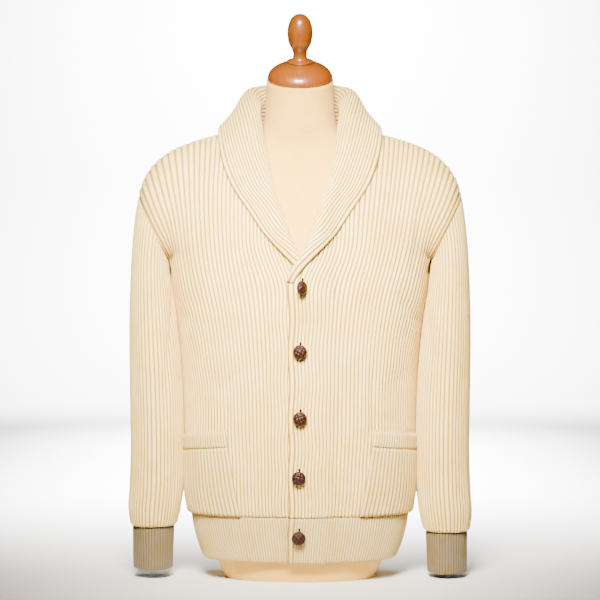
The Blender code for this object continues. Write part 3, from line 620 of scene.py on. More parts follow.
bodyRings = table(
    ("height", "halfWidth", "front", "back"),
    (
        (0.033, 0.1560, 0.1080, 0.1050),
        (0.070, 0.1685, 0.1135, 0.1090),
        (0.105, 0.1755, 0.1165, 0.1120),
        (0.136, 0.1800, 0.1190, 0.1140),
        (0.200, 0.1810, 0.1215, 0.1160),
        (0.300, 0.1825, 0.1240, 0.1180),
        (0.360, 0.1865, 0.1250, 0.1190),
        (0.410, 0.1925, 0.1255, 0.1200),
        (0.450, 0.1985, 0.1250, 0.1200),
    ),
)
shoulderLine = table(
    ("x", "z"),
    (
        (0.0800, 0.7160), (0.1300, 0.7056), (0.1650, 0.6960), (0.2070, 0.6780),
        (0.2270, 0.6630), (0.2400, 0.6480), (0.2500, 0.6300), (0.2560, 0.6080),
    ),
)
ribWay = {
    # ribs between these shares begin to lean, and from the middle on they bend to the last one
    "straight": {"left": (0.12, 0.45), "right": (0.18, 0.45), "back": (0.0, 0.45)},
    "middle": 0.45,
    # a front's ribs nearer its border lean only here, faster than the others but no more than late
    "late": 0.092, "latePath": (0.985, 1.16), "lateFaster": 1.2,
    "lateFrom": (0.9, 2.0),  # in widths of the border
    "sideTop": 0.56,  # path up to which every rib of a panel is still there
}
# how far the ribs of each panel lean outwards on their way up, and which share of them reaches
# so high before it runs into the side seam or the armhole
ribLean = table(
    ("path", "left", "right", "back", "lastLeft", "lastRight", "lastBack"),
    (
        (0.00, 0.003, -0.002, 0.000, 1.000, 1.000, 1.000),
        (0.20, 0.014, -0.002, 0.003, 1.000, 1.000, 1.000),
        (0.40, 0.028, 0.008, 0.006, 1.000, 1.000, 1.000),
        (0.56, 0.028, 0.011, 0.010, 0.999, 0.999, 0.999),
        (0.74, 0.026, 0.021, 0.015, 0.943, 0.947, 0.961),
        (0.91, 0.034, 0.030, 0.024, 0.865, 0.875, 0.909),
        (1.00, 0.045, 0.040, 0.034, 0.828, 0.840, 0.884),
        (1.08, 0.076, 0.061, 0.046, 0.808, 0.825, 0.870),
        (1.14, 0.095, 0.068, 0.056, 0.795, 0.815, 0.860),
        (1.23, 0.110, 0.070, 0.064, 0.782, 0.806, 0.852),
        (1.33, 0.122, 0.066, 0.070, 0.772, 0.799, 0.846),
        (1.50, 0.134, 0.050, 0.072, 0.762, 0.791, 0.839),
        (1.80, 0.140, 0.040, 0.072, 0.752, 0.782, 0.832),
    ),
)
# where a front's rib ends at the collar seam: its share across the front, and of its arch
collarSeam = table(
    ("across", "rise"),
    (
        (0.000, 0.030), (0.100, 0.122), (0.180, 0.210), (0.250, 0.330),
        (0.315, 0.515), (0.345, 0.720), (0.365, 1.000),
    ),
)
# a sleeve's sections: outer and inner end of each, and its half depth
sleeveRings = table(
    ("outX", "outZ", "inX", "inZ", "depth", "y"),
    (
        (0.2560, 0.6080, 0.2085, 0.4965, 0.0655, 0.000),
        (0.2620, 0.5700, 0.2072, 0.4800, 0.0690, -0.001),
        (0.2672, 0.5200, 0.2050, 0.4570, 0.0705, -0.002),
        (0.2704, 0.4600, 0.1995, 0.4200, 0.0700, -0.004),
        (0.2720, 0.3900, 0.1940, 0.3700, 0.0675, -0.006),
        (0.2710, 0.3000, 0.1885, 0.3000, 0.0630, -0.009),
        (0.2695, 0.2100, 0.1865, 0.2100, 0.0580, -0.012),
        (0.2715, 0.1450, 0.1865, 0.1450, 0.0545, -0.014),
        (0.2735, 0.1120, 0.1895, 0.1120, 0.0520, -0.015),
        (0.2700, 0.0835, 0.1965, 0.0835, 0.0455, -0.015),
    ),
)
sleevePower = 2.15  # of the superellipse between them
buttonPlaces = table(
    ("x", "z", "turned"),
    (
        (0.0030, 0.4582, 55.0), (0.0000, 0.3604, 0.0), (0.0000, 0.2580, 0.0),
        (-0.0020, 0.1668, 0.0), (-0.0020, 0.0742, 0.0),
    ),
)


def quarterRing():
    # a superellipse quarter by its share of arc: how far out, and how far forward
    turn = np.linspace(0, math.pi / 2, 2001)
    out = np.sin(turn) ** (2 / body["ringPower"])
    forward = np.cos(turn) ** (2 / body["ringPower"])
    steps = np.hypot(np.diff(out), body["ringAspect"] * np.diff(forward))
    arc = np.concatenate([[0], np.cumsum(steps)])
    return arc / arc[-1], out, forward, arc[-1]


ringArc, ringOut, ringForward, ringLength = quarterRing()


def ringPoint(side, share, z):
    # the body's plain face at a share of arc from the centre line and a height
    halfWidth = smooth(bodyRings["height"], bodyRings["halfWidth"], z) - cover
    depth = smooth(bodyRings["height"], bodyRings["front" if side < 0 else "back"], z) - cover
    x = np.sign(share) * halfWidth * np.interp(np.abs(share), ringArc, ringOut)
    y = side * depth * np.interp(np.abs(share), ringArc, ringForward)
    return np.stack([x, y, z + 0 * x], axis=-1)


def shoulderPoint(along):
    # the line over the shoulder, from the neck (0) to the armhole (1), under the cloth's thickness
    lengths = np.hypot(np.diff(shoulderLine["x"]), np.diff(shoulderLine["z"]))
    arc = np.concatenate([[0], np.cumsum(lengths)])
    x = smooth(arc / arc[-1], shoulderLine["x"], along)
    z = smooth(arc / arc[-1], shoulderLine["z"], along)
    lean = ease(along, 0.5, 1.0)
    return x - cover * 0.4 * lean, z - cover * (1 - 0.1 * lean)


def archTop(side, across):
    # where a rib would reach the line over the shoulders
    neck = body["neckRibsFront"] if side < 0 else body["neckRibsBack"]
    startX = body["neckStart"] if side < 0 else 0.0
    x, z = shoulderPoint(np.clip((across - neck) / (1 - neck), 0, 1))
    inside = np.clip(across / neck, 0, 1)
    x = np.where(across < neck, startX + (x - startX) * inside, x)
    if side > 0:
        z = z + body["backNeckRise"] * (1 - inside**2) ** 2
    return x, z


def sleevePoint(turn, row):
    # a sleeve's plain face: turn 0 is outside, a quarter is the front, a half is inside
    at = np.arange(len(sleeveRings["y"]))
    section = {name: smooth(at, sleeveRings[name], row) for name in sleeveRings}
    halfX = (section["outX"] - section["inX"]) / 2
    halfZ = (section["outZ"] - section["inZ"]) / 2
    shrink = 1 - cover / np.hypot(halfX, halfZ)
    out, front = oval(2 * math.pi * turn, sleevePower)
    x = (section["outX"] + section["inX"]) / 2 + halfX * shrink * out
    z = (section["outZ"] + section["inZ"]) / 2 + halfZ * shrink * out
    y = section["y"] - (section["depth"] - cover) * front
    return np.stack([x, y, z], axis=-1)


def armholeWays(side, along):
    # ways out of the sleeve and of the body where they meet: the same over the shoulder, and
    # opposite under the arm, where the two lie back to back
    turn = np.where(side < 0, 0.5 - along / 2, 0.5 + along / 2)
    fine = 0.004
    around = sleevePoint(turn + fine, 0 * turn) - sleevePoint(turn - fine, 0 * turn)
    down = sleevePoint(turn, 0 * turn + 0.05) - sleevePoint(turn, 0 * turn)
    ofSleeve = unit(np.cross(around, down))
    low = np.array([1.0, 0.4 * side, -0.2])
    middle = np.array([1.0, 0.8 * side, 0.6])
    own = unit(low + (middle - low) * ease(along, 0.0, 0.18)[..., None])
    return ofSleeve, unit(own + (ofSleeve - own) * ease(along, 0.25, 0.78)[..., None])


def armhole(side, along):
    # the armhole's edge on the body, from the underarm (0) to the shoulder tip (1): the sleeve's
    # first ring, moved off it by both walls where the two ways out are opposite
    along = np.asarray(along, float)
    turn = np.where(side < 0, 0.5 - along / 2, 0.5 + along / 2)
    ofSleeve, ofBody = armholeWays(side, along)
    apart = (1 - (ofSleeve * ofBody).sum(axis=-1, keepdims=True)) / 2
    return sleevePoint(turn, 0 * turn) + ofSleeve * apart * (2 * cover + body["underarmGap"])


def sideLine(side, rise):
    # the last rib above the chest: the side seam, then the armhole's edge
    below = np.clip(rise / body["underarm"], 0, 1)
    start = ringPoint(side, np.ones_like(rise), np.full_like(rise, body["chest"]))
    loop = armhole(side, np.clip((rise - body["underarm"]) / (1 - body["underarm"]), 0, 1))
    under = armhole(side, np.zeros_like(rise))
    seam = start + (under - start) * below[..., None]
    return np.where((rise < body["underarm"])[..., None], seam, loop)


def arch(side, across, share, rise):
    # above the chest: a quarter of an ellipse from the ring to the line over the shoulders
    start = ringPoint(side, share, np.full_like(rise, body["chest"]))
    topX, topZ = archTop(side, across)
    turn = rise * math.pi / 2
    x = start[..., 0] + (topX - start[..., 0]) * np.sin(turn)
    y = start[..., 1] * np.cos(turn)
    z = body["chest"] + (topZ - body["chest"]) * np.sin(turn)
    return np.stack([x, y, z], axis=-1)


def ribShare(side, across, z):
    # share of the ring's arc at which a rib stands, by its share across the panel
    spaced = (across + body["spread"] * across**2) / (1 + body["spread"])
    if side > 0:
        return spaced
    quarter = ringLength * (smooth(bodyRings["height"], bodyRings["halfWidth"], z) - cover)
    start = -body["overlap"] / quarter
    return start + (1 - start) * spaced


def ribEnd(side, across):
    # how far a rib goes: 1 is the chest, and 1 + archPath the line over the shoulders
    if side < 0:
        neck = body["neckRibsFront"]
        rise = smooth(collarSeam["across"], collarSeam["rise"], across)
        edge = body["border"] / (body["frontRibs"] - 1 + body["border"])
        rise = rise + (body["borderRise"] - rise) * (1 - ease(across, 0.88 * edge, 1.12 * edge))
    else:
        neck = body["neckRibsBack"]
        low = body["backNeckLow"]
        rise = low + (1 - low) * np.clip(across / neck, 0, 1) ** 2.2
    return 1 + body["archPath"] * np.where(across < neck, rise, 1.0)


def ribPlace(panel, rib, path, edge):
    # share across the panel of a rib at some height: past the middle a parabola to the last one;
    # the ribs next to the front edge are straight and only lean close under the collar
    lean = smooth(ribLean["path"], ribLean[panel], path)
    last = smooth(ribLean["path"], ribLean["last" + panel.capitalize()], path)
    beside = ease(rib, *ribWay["straight"][panel])
    near = rib + lean * beside
    if edge > 0:
        start, end = (edge * widths for widths in ribWay["lateFrom"])
        late = ease(path, *ribWay["latePath"]) * ease(rib, start, end)
        near = near + np.minimum(lean * ribWay["lateFaster"], ribWay["late"]) * late * (1 - beside)
    middle = ribWay["middle"]
    start, length = middle + lean, last - middle
    share = (rib - middle) / length
    far = start + length * share + (1 - start - length) * share**2
    return np.where(rib < middle, near, np.minimum(far, 1))


def ribTops(panel, rib, edge):
    # path at which each rib meets the collar seam, the shoulder line, the armhole or the side seam:
    # the first one where the room above it is gone
    side, steep = 1 if panel == "back" else -1, 8
    path = np.linspace(0.3, 1 + body["archPath"], 1501)[:, None]
    place = ribPlace(panel, rib[None, :], path + 0 * rib[None, :], edge)
    toSide = (1 - place) * steep + np.maximum(ribWay["sideTop"] - path, 0)
    room = np.minimum(ribEnd(side, place) - path, toSide)
    room = np.where(rib[None, :] >= 1, np.minimum(room, ribWay["sideTop"] - path), room)
    over = room <= 0
    first = np.where(over.any(axis=0), over.argmax(axis=0), len(path) - 1)
    first = np.maximum(first, 1)
    columns = np.arange(len(rib))
    before, after = room[first - 1, columns], room[first, columns]
    share = np.clip(before / np.where(before - after == 0, 1, before - after), 0, 1)
    return path[first - 1, 0] + (path[1, 0] - path[0, 0]) * share


def bodyPoint(side, across, path):
    # the plain face of a front (side -1) or half of the back (side 1)
    across, path = np.broadcast_arrays(np.asarray(across, float), np.asarray(path, float))
    z = body["hemSeam"] + (body["chest"] - body["hemSeam"]) * np.clip(path, 0, 1)
    low = ringPoint(side, ribShare(side, across, z), z)
    rise = np.clip((path - 1) / body["archPath"], 0, 1)
    share = ribShare(side, across, np.full_like(rise, body["chest"]))
    high = arch(side, across, share, rise)
    atSide = arch(side, np.ones_like(rise), np.ones_like(rise), rise)
    pull = ease(across, 0.5, 1.0) ** 1.3
    high = high + pull[..., None] * (sideLine(side, rise) - atSide)
    return np.where((path < 1)[..., None], low, high)


def frontLift(x, z):
    # how far the left front lies above the right one, most along its edge
    near = 1 - ease(x, body["overlap"] + 0.004, body["liftEnd"])
    return near * (body["lift"] + body["chestLift"] * ease(z, body["chestFrom"], body["chest"]))


# soft troughs (depth below 0) and ridges of the body, each along a line between two ends; x is
# counted from the centre towards the piece's own side
frontFolds = table(
    ("x0", "z0", "x1", "z1", "width", "depth"),
    (
        (0.1130, 0.2320, 0.1080, 0.3300, 0.0060, -0.0022),
        (0.1010, 0.2300, 0.0960, 0.3300, 0.0080, 0.0013),
        (0.1460, 0.2350, 0.1430, 0.3300, 0.0220, -0.0030),
        (0.1140, 0.2385, 0.1830, 0.2325, 0.0018, -0.0012),
        (0.1690, 0.4700, 0.1930, 0.5900, 0.0080, -0.0020),
        (0.1580, 0.4500, 0.1780, 0.5700, 0.0090, 0.0012),
        (0.1580, 0.4300, 0.1540, 0.5500, 0.0100, -0.0012),
        (0.1260, 0.4400, 0.1240, 0.5400, 0.0100, -0.0010),
        (0.1850, 0.4000, 0.1550, 0.4400, 0.0070, -0.0016),
        (0.1700, 0.3100, 0.1500, 0.4100, 0.0120, -0.0014),
        (0.0830, 0.1100, 0.0800, 0.2000, 0.0100, -0.0010),
        (0.0570, 0.1300, 0.0560, 0.3000, 0.0130, -0.0009),
        (0.1200, 0.0300, 0.1340, 0.0900, 0.0100, -0.0014),
        (0.0780, 0.0300, 0.0860, 0.1000, 0.0110, -0.0010),
    ),
)
backFolds = table(
    ("x0", "z0", "x1", "z1", "width", "depth"),
    (
        (0.1650, 0.4500, 0.1750, 0.5900, 0.0120, -0.0024),
        (0.1500, 0.4000, 0.1350, 0.5200, 0.0140, -0.0018),
        (0.1150, 0.3000, 0.0950, 0.4600, 0.0160, -0.0014),
        (0.0500, 0.1200, 0.0540, 0.3600, 0.0180, -0.0018),
        (0.1150, 0.0400, 0.1050, 0.2600, 0.0150, -0.0016),
        (0.0000, 0.2200, 0.0000, 0.5200, 0.0260, -0.0022),
        (0.1550, 0.1300, 0.1480, 0.3000, 0.0130, -0.0014),
    ),
)


def foldDepth(folds, x, z):
    # sum of bells across each fold's line, faded towards its two ends
    total = np.zeros_like(x)
    for x0, z0, x1, z1, width, depth in zip(*folds.values()):
        length = math.hypot(x1 - x0, z1 - z0)
        alongX, alongZ = (x1 - x0) / length, (z1 - z0) / length
        along = ((x - x0) * alongX + (z - z0) * alongZ) / length
        off = (x - x0) * alongZ - (z - z0) * alongX
        fade = ease(along, -0.15, 0.25) * (1 - ease(along, 0.75, 1.15))
        total += depth * bell(off, width) * fade
    return total


def bodyDrape(side, x, z, hand):
    # how far the cloth stands off its plain form; the two hands differ a little
    folds = frontFolds if side < 0 else backFolds
    shift = 0.0035 * math.sin(1.7 * hand + side) * np.sin(z * 11.0 + hand)
    depth = foldDepth(folds, np.abs(x) + shift, z)
    sway = 0.0006 * np.sin(np.abs(x) * 74 + 1.3 * hand) * np.sin(z * 13 + 0.7 * side + hand)
    return depth * (1 + 0.18 * hand) + sway


def buttonPull(x, z):
    # the ribs bow sideways between two buttons, most at the front edge
    bow = np.zeros_like(z)
    heights = buttonPlaces["z"]
    for above, below in zip(heights[:-1], heights[1:]):
        share = np.clip((above - z) / (above - below), 0, 1)
        bow = bow + np.sin(math.pi * share) ** 2
    return body["bow"] * bow * (1 - ease(np.abs(x), *body["bowEnd"]))


def sideOut(y, z):
    # the sides stand out a little behind the middle of the sleeves
    upright = ease(z, *body["sideLow"]) * (1 - ease(z, *body["sideHigh"]))
    return body["sideOut"] * upright * ease(y, -0.045, 0.022) * (1 - ease(y, 0.035, 0.095))


def dressBody(side, points, hand):
    # adds the folds and the pull of the buttons to a piece of the body, along its own way out;
    # next to the side seams, where y is small, the folds fade
    points[..., 0] += np.sign(points[..., 0]) * sideOut(points[..., 1], points[..., 2])
    way = normals(points) * (1 if side < 0 else -1)
    x, z = points[..., 0], points[..., 2]
    depth = bodyDrape(side, x, z, hand)
    middle = np.clip((np.abs(points[..., 1]) - 0.012) / 0.03, 0, 1)
    points = points + way * (depth * middle)[..., None]
    if side < 0:
        points[..., 0] += buttonPull(x, z)
    return points, way


frontCut = {"flat": (0.315, 0.640), "area": 0.172, "rests": ["form"]}
backCut = {"flat": (0.530, 0.640), "area": 0.310, "rests": ["form"]}
panelShape = {
    "length": 0.64,
    "width": 0.30, "backWidth": 0.28,  # about, for the ribs that sink towards the side seam
    "toSide": (0.90, 1.0), "toTop": 0.97,  # shares from which the way out turns to the edge's own
}


def panelWay(side, points, path, place, way, mirror=1.0):
    # way out of a panel: near its side edges it turns into the edge's own, and over the
    # shoulders it stands upright, so that two panels meet face to face
    flat = way.copy()
    flat[..., 1] = 0
    along = ((path - 1) / body["archPath"] - body["underarm"]) / (1 - body["underarm"])
    sleeveWay = armholeWays(side, np.clip(along, 0, 1))[1]
    sleeveWay[..., 0] *= mirror
    above = path > 1 + body["archPath"] * body["underarm"]
    edge = np.where(above[..., None], unit(sleeveWay), unit(flat))
    top = 1 + body["archPath"]
    toEdge = ease(place, *panelShape["toSide"]) ** 1.5
    toTop = ease(path, panelShape["toTop"] * top, top) * (1 - toEdge)
    toEdge, toTop = toEdge[..., None], toTop[..., None]
    way = unit(way * (1 - toEdge) + edge * toEdge)
    return unit(way * (1 - toTop) + flat * toTop)


def panelHeights(points, place, ribs, border=1.0):
    # ribs that sink towards the collar, shoulder, armhole, side and hem seams
    length = lengthsAlong(points)
    toSide = (1 - place) * panelShape["backWidth"]
    fade = seamFade(length) * np.minimum(seamFade(length[-1:] - length), seamFade(toSide))
    return ribHeights(ribs, fade, border)


def makeFront(hand):
    across, ribs = ribColumns(body["frontRibs"], body["border"], body["frontFine"])
    edge = body["border"] / (body["frontRibs"] - 1 + body["border"])
    path = rowShares(panelShape["length"])[:, None] * ribTops(hand, across, edge)[None, :]
    place = ribPlace(hand, across[None, :], path, edge)
    points = bodyPoint(-1, place, path)
    points, way = dressBody(-1, points, 1 if hand == "left" else -1)
    way = panelWay(-1, points, path, place, way)
    points[..., 1] = np.minimum(points[..., 1], -cloth["seam"])
    points[0, :, 2] += cloth["seam"]
    if hand == "left":
        points = points + way * frontLift(points[..., 0], points[..., 2])[..., None]
    heights = panelHeights(points, place, ribs, body["border"])
    heights = heights * roundOff(across * panelShape["width"], cloth["edgeRoll"])[None, :]
    putOnSide(hand, points, way)
    return clothPiece(f"front_{hand}_knit", points, way, heights, ribs, wool)


def makeBack():
    across, ribs, sides = backColumns(body["backRibs"], body["backFine"])
    path = rowShares(panelShape["length"])[:, None] * ribTops("back", across, 0.0)[None, :]
    place = ribPlace("back", across[None, :], path, 0.0)
    points = bodyPoint(1, place, path)
    points[..., 0] *= sides[None, :]
    points, way = dressBody(1, points, body["backHand"])
    way = panelWay(1, points, path, place, way, sides[None, :])
    points[..., 1] = np.maximum(points[..., 1], cloth["seam"])
    points[0, :, 2] += cloth["seam"]
    return clothPiece("back_knit", points, way, panelHeights(points, place, ribs), ribs, wool)


for hand in ("left", "right"):
    declareSheet(makeFront(hand), frontCut, f"front_{hand}")
declareSheet(makeBack(), backCut, "back")
print("cardigan: fronts and back made")


hem = {
    "frontRibs": 54, "backRibs": 104, "ribShare": 0.70, "border": 1.35,  # in the fronts' borders
    "tuck": 0.0012,  # how far the bands draw in
    "rows": 17, "width": 0.28,
    "frontCut": {"flat": (0.300, 0.073), "area": None, "rests": ["form"]},
    "backCut": {"flat": (0.520, 0.073), "area": None, "rests": ["form"]},
}


def hemPoint(side, across, z):
    return ringPoint(side, ribShare(side, across, z), z)


def makeHem(name):
    z = np.linspace(body["hemBottom"], body["hemSeam"] - cloth["seam"], hem["rows"])[:, None]
    if name == "back":
        across, ribs, sides = backColumns(hem["backRibs"])
        border = 1.0
        points = hemPoint(1, across[None, :], z + 0 * across[None, :])
        points[..., 0] *= sides[None, :]
        points, way = dressBody(1, points, body["backHand"])
        way[:, (0, -1), 1] = 0
        points[..., 1] = np.maximum(points[..., 1], cloth["seam"])
    else:
        border = body["border"] * hem["border"]
        across, ribs = ribColumns(hem["frontRibs"], border)
        points = hemPoint(-1, across[None, :], z + 0 * across[None, :])
        points, way = dressBody(-1, points, 1 if name == "front_left" else -1)
        way[:, -1, 1] = 0
        points[..., 1] = np.minimum(points[..., 1], -cloth["seam"])
    way = unit(way)
    if name == "front_left":
        points = points + way * frontLift(points[..., 0], points[..., 2])[..., None]
    putOnSide(name.removeprefix("front_"), points, way)
    up = (z - z[0]) + 0 * across[None, :]
    heights = ribHeights(ribs, seamFade(up[::-1]), border, hem["ribShare"])
    heights = heights * roundOff(up, cloth["hemRoll"])
    if name != "back":
        heights = heights * roundOff(across * hem["width"], cloth["edgeRoll"])[None, :]
    points = points - way * hem["tuck"]
    return clothPiece(f"hem_{name}_knit", points, way, heights, ribs, bandWoolShaded)


for name in ("front_left", "front_right", "back"):
    declareSheet(makeHem(name), hem["backCut" if name == "back" else "frontCut"], f"hem_{name}")


pocket = {
    "top": 0.2385, "band": 0.0255, "drop": 0.0105,  # heights at the inner end, lower at the side
    "innerTop": 0.535, "innerLow": 0.455, "outer": 0.93,  # shares across the front
    "ribs": 18, "rows": 24, "bandRibs": 24, "bandRows": 8,
    "bandRibShare": 0.6, "bandThicker": 0.0012,
    "above": 0.002,  # the patch starts this far above the hem's seam
    "width": 0.09,  # about, for its rolled sides
    "patchCut": {"flat": (0.105, 0.106), "area": None, "rests": ["front_left", "front_right"]},
    "bandCut": {"flat": (0.090, 0.026), "area": None, "rests": ["front_left", "front_right"]},
}


def pocketPoint(across, z):
    # a point of the front under the pocket, by its share across the pocket and its height
    lean = (z - body["hemSeam"]) / (pocket["top"] - body["hemSeam"])
    inner = pocket["innerLow"] + (pocket["innerTop"] - pocket["innerLow"]) * lean
    place = inner + (pocket["outer"] - inner) * across
    return bodyPoint(-1, place, (z - body["hemSeam"]) / (body["chest"] - body["hemSeam"]) + 0 * place)


def makePocket(hand, band):
    across, ribs = ribColumns(pocket["bandRibs" if band else "ribs"])
    drop = pocket["drop"] * across[None, :]
    bandLow = pocket["top"] - pocket["band"] - drop
    if band:
        low, high = bandLow, pocket["top"] - drop
    else:
        low, high = body["hemSeam"] + pocket["above"] + 0 * drop, bandLow - cloth["seam"]
    z = low + (high - low) * np.linspace(0, 1, pocket["bandRows" if band else "rows"])[:, None]
    points = pocketPoint(across[None, :] + 0 * z, z)
    points, way = dressBody(-1, points, 1 if hand == "left" else -1)
    points = points + way * (cover + cloth["laidOn"])
    up, down = z - z[:1], z[-1:] - z
    if band:
        heights = ribHeights(ribs, seamFade(up), share=pocket["bandRibShare"])
        heights = heights + pocket["bandThicker"] * ease(up, 0, 0.003)
        heights = heights * roundOff(down, cloth["edgeRoll"])
    else:
        heights = ribHeights(ribs, seamFade(down) * seamFade(up))
    width = across * pocket["width"]
    heights = heights * roundOff(np.minimum(width, width[::-1]), cloth["hemRoll"])[None, :]
    putOnSide(hand, points, way)
    name = f"pocket_band_{hand}" if band else f"pocket_{hand}_knit"
    return clothPiece(name, points, way, heights, ribs + plainStart, pocketWoolShaded)


for hand in ("left", "right"):
    declareSheet(makePocket(hand, False), pocket["patchCut"], f"pocket_{hand}")
    declareSheet(makePocket(hand, True), pocket["bandCut"], f"pocket_welt_{hand}")
print("cardigan: hem and pockets made")


sleeve = {
    "ribs": 54, "rows": 110,
    "lastRows": (0.30, 0.20, 0.11, 0.045, 0),  # places of the last rows, counted back from the end
    "halfWidth": 0.041, "halfDepth": 0.066,  # of the oval round which the ribs are evenly spaced
    # the inner front moves in towards the body by lean, and stays clear of it; between these
    # heights, most at this turn, and with a soft corner where the two meet
    "lean": 0.0045, "clear": 0.0006, "leanLow": (0.115, 0.17), "leanHigh": (0.455, 0.490),
    "leanTurn": 0.06, "leanCorner": 0.0012,
    "curl": 0.002475, "curlLength": 0.006,  # the end turns in over the cuff
    "endRoll": 0.0035, "endThin": 0.65,  # and gets thinner down to this share
    "cut": {"flat": (0.400, 0.560), "area": 0.190, "rests": ["form"]},
}
cuff = {
    "ribs": 48, "ribShare": 0.70,
    "top": (0.2668, 0.1995, 0.0400), "end": (0.2650, 0.2015, 0.0375),  # outer x, inner x, half depth
    "heights": {"left": (0.0080, 0.0745), "right": (0.0150, 0.0832)},
    "halfWidth": 0.033, "halfDepth": 0.040,  # of the oval round which the ribs are evenly spaced
    "wave": 0.0007,  # its end isn't quite round
    "cut": {"flat": (0.235, 0.068), "area": None, "rests": ["form"]},
}
# folds of a sleeve: turn round it (0 outside, 0.25 front), height, length of the line, slant
# (turns to a metre), width in turns, and depth
sleeveFolds = table(
    ("turn", "z", "length", "slant", "width", "depth"),
    (
        (0.055, 0.135, 0.080, 0.20, 0.022, -0.0034),
        (0.100, 0.120, 0.060, -0.25, 0.020, 0.0016),
        (0.380, 0.150, 0.070, 0.55, 0.025, -0.0022),
        (0.300, 0.110, 0.045, -0.40, 0.022, -0.0014),
        (0.440, 0.440, 0.100, 0.90, 0.022, -0.0026),
        (0.400, 0.400, 0.110, 1.10, 0.020, -0.0018),
        (0.350, 0.330, 0.120, 0.90, 0.026, -0.0016),
        (0.150, 0.300, 0.140, -0.50, 0.030, -0.0012),
        (0.620, 0.430, 0.110, -1.00, 0.026, -0.0024),
        (0.700, 0.320, 0.150, -0.70, 0.032, -0.0022),
        (0.780, 0.210, 0.120, 0.60, 0.032, -0.0020),
        (0.900, 0.300, 0.160, 0.30, 0.030, -0.0014),
        (0.850, 0.120, 0.060, -0.40, 0.026, -0.0022),
        (0.600, 0.130, 0.070, 0.40, 0.026, -0.0022),
    ),
)


def evenTurns(ribs, width, depth):
    # turns round an ellipse at equal steps of arc
    turn = np.linspace(0, 1, 4001)
    x, y = width * np.cos(2 * math.pi * turn), depth * np.sin(2 * math.pi * turn)
    arc = np.concatenate([[0], np.cumsum(np.hypot(np.diff(x), np.diff(y)))])
    return np.interp(ribs, arc / arc[-1], turn)


def sleeveDrape(turn, z, sign):
    # how far a sleeve's cloth stands off its plain form; the two sleeves differ a little
    total = np.zeros_like(z + turn)
    for at, height, length, slant, width, depth in zip(*sleeveFolds.values()):
        height = height + 0.006 * sign * math.sin(37 * at)
        off = turn - at - slant * (z - height) - 0.006 * sign
        off = off - np.round(off)
        fade = bell(z - height, length / 2)
        total += depth * (1 - 0.15 * sign) * bell(off, width) * fade
    return total


def bodySide(y, z):
    # how far out the body's ribs reach at some depth and height
    depth = smooth(bodyRings["height"], bodyRings["front"], z)
    depth = np.where(y > 0, smooth(bodyRings["height"], bodyRings["back"], z), depth)
    reach = np.clip(1 - (np.abs(y) / depth) ** body["ringPower"], 0, 1) ** (1 / body["ringPower"])
    halfWidth = smooth(bodyRings["height"], bodyRings["halfWidth"], z)
    widening = 0.16 * np.maximum(z - body["chest"], 0)  # above the chest, towards the armhole
    return (halfWidth + widening) * reach + sideOut(y, z)


def lieAgainst(points, turns):
    # the inner front of the sleeve moves in until it lies just clear of the body:
    # the greater of the moved sleeve and the body, with a soft corner
    x, z = points[..., 0], points[..., 2]
    upright = ease(z, *sleeve["leanLow"]) * (1 - ease(z, *sleeve["leanHigh"]))
    inner = np.clip(-np.cos(2 * math.pi * (turns - sleeve["leanTurn"])), 0, 1) ** 1.5
    moved = x - sleeve["lean"] * upright * inner
    least = bodySide(points[..., 1], z) + cover + sleeve["clear"]
    hugged = (moved + least + np.sqrt((moved - least) ** 2 + sleeve["leanCorner"] ** 2)) / 2
    points[..., 0] = x + (hugged - x) * ease(inner * upright, 0, 0.15)
    return points


def makeSleeve(hand):
    sign = 1 if hand == "left" else -1
    across, ribs = ribColumns(sleeve["ribs"])
    turns = evenTurns(across[:-1], sleeve["halfWidth"], sleeve["halfDepth"])[None, :]
    seam = cuff["heights"][hand][1]
    rows = len(sleeveRings["y"]) - 1
    levels = np.linspace(0, rows, sleeve["rows"])[:-4]
    levels = np.concatenate([levels, rows - np.array(sleeve["lastRows"])])[:, None]
    points = sleevePoint(turns, levels + 0 * turns)
    stretch = ease(levels, 4, rows)
    points[..., 2] += (seam + cloth["seam"] - sleeveRings["outZ"][-1]) * stretch
    points[0, :, 0] += cloth["seam"]
    points[0, :, 2] -= cloth["seam"]
    way, away = tubeWays(points)
    depth = sleeveDrape(turns, points[..., 2], sign) * ease(levels, 0.0, 0.9)
    points = lieAgainst(points + way * depth[..., None], turns)
    toEnd = np.clip(1 - (points[..., 2] - seam) / sleeve["curlLength"], 0, 1)
    curl = sleeve["curl"] * (1 - np.sqrt(1 - toEnd**2))
    points = points - away * curl[..., None]
    length = lengthsAlong(points)
    left = length[-1:] - length
    heights = ribHeights(ribs[:-1], seamFade(length) * (0.5 + 0.5 * ease(left, 0, 0.005)))
    thin = sleeve["endThin"]
    heights = heights * (thin + (1 - thin) * roundOff(left, sleeve["endRoll"]))
    putOnSide(hand, points, way)
    return clothPiece(f"sleeve_{hand}_knit", points, way, heights, ribs + plainStart, wool, closed=True)


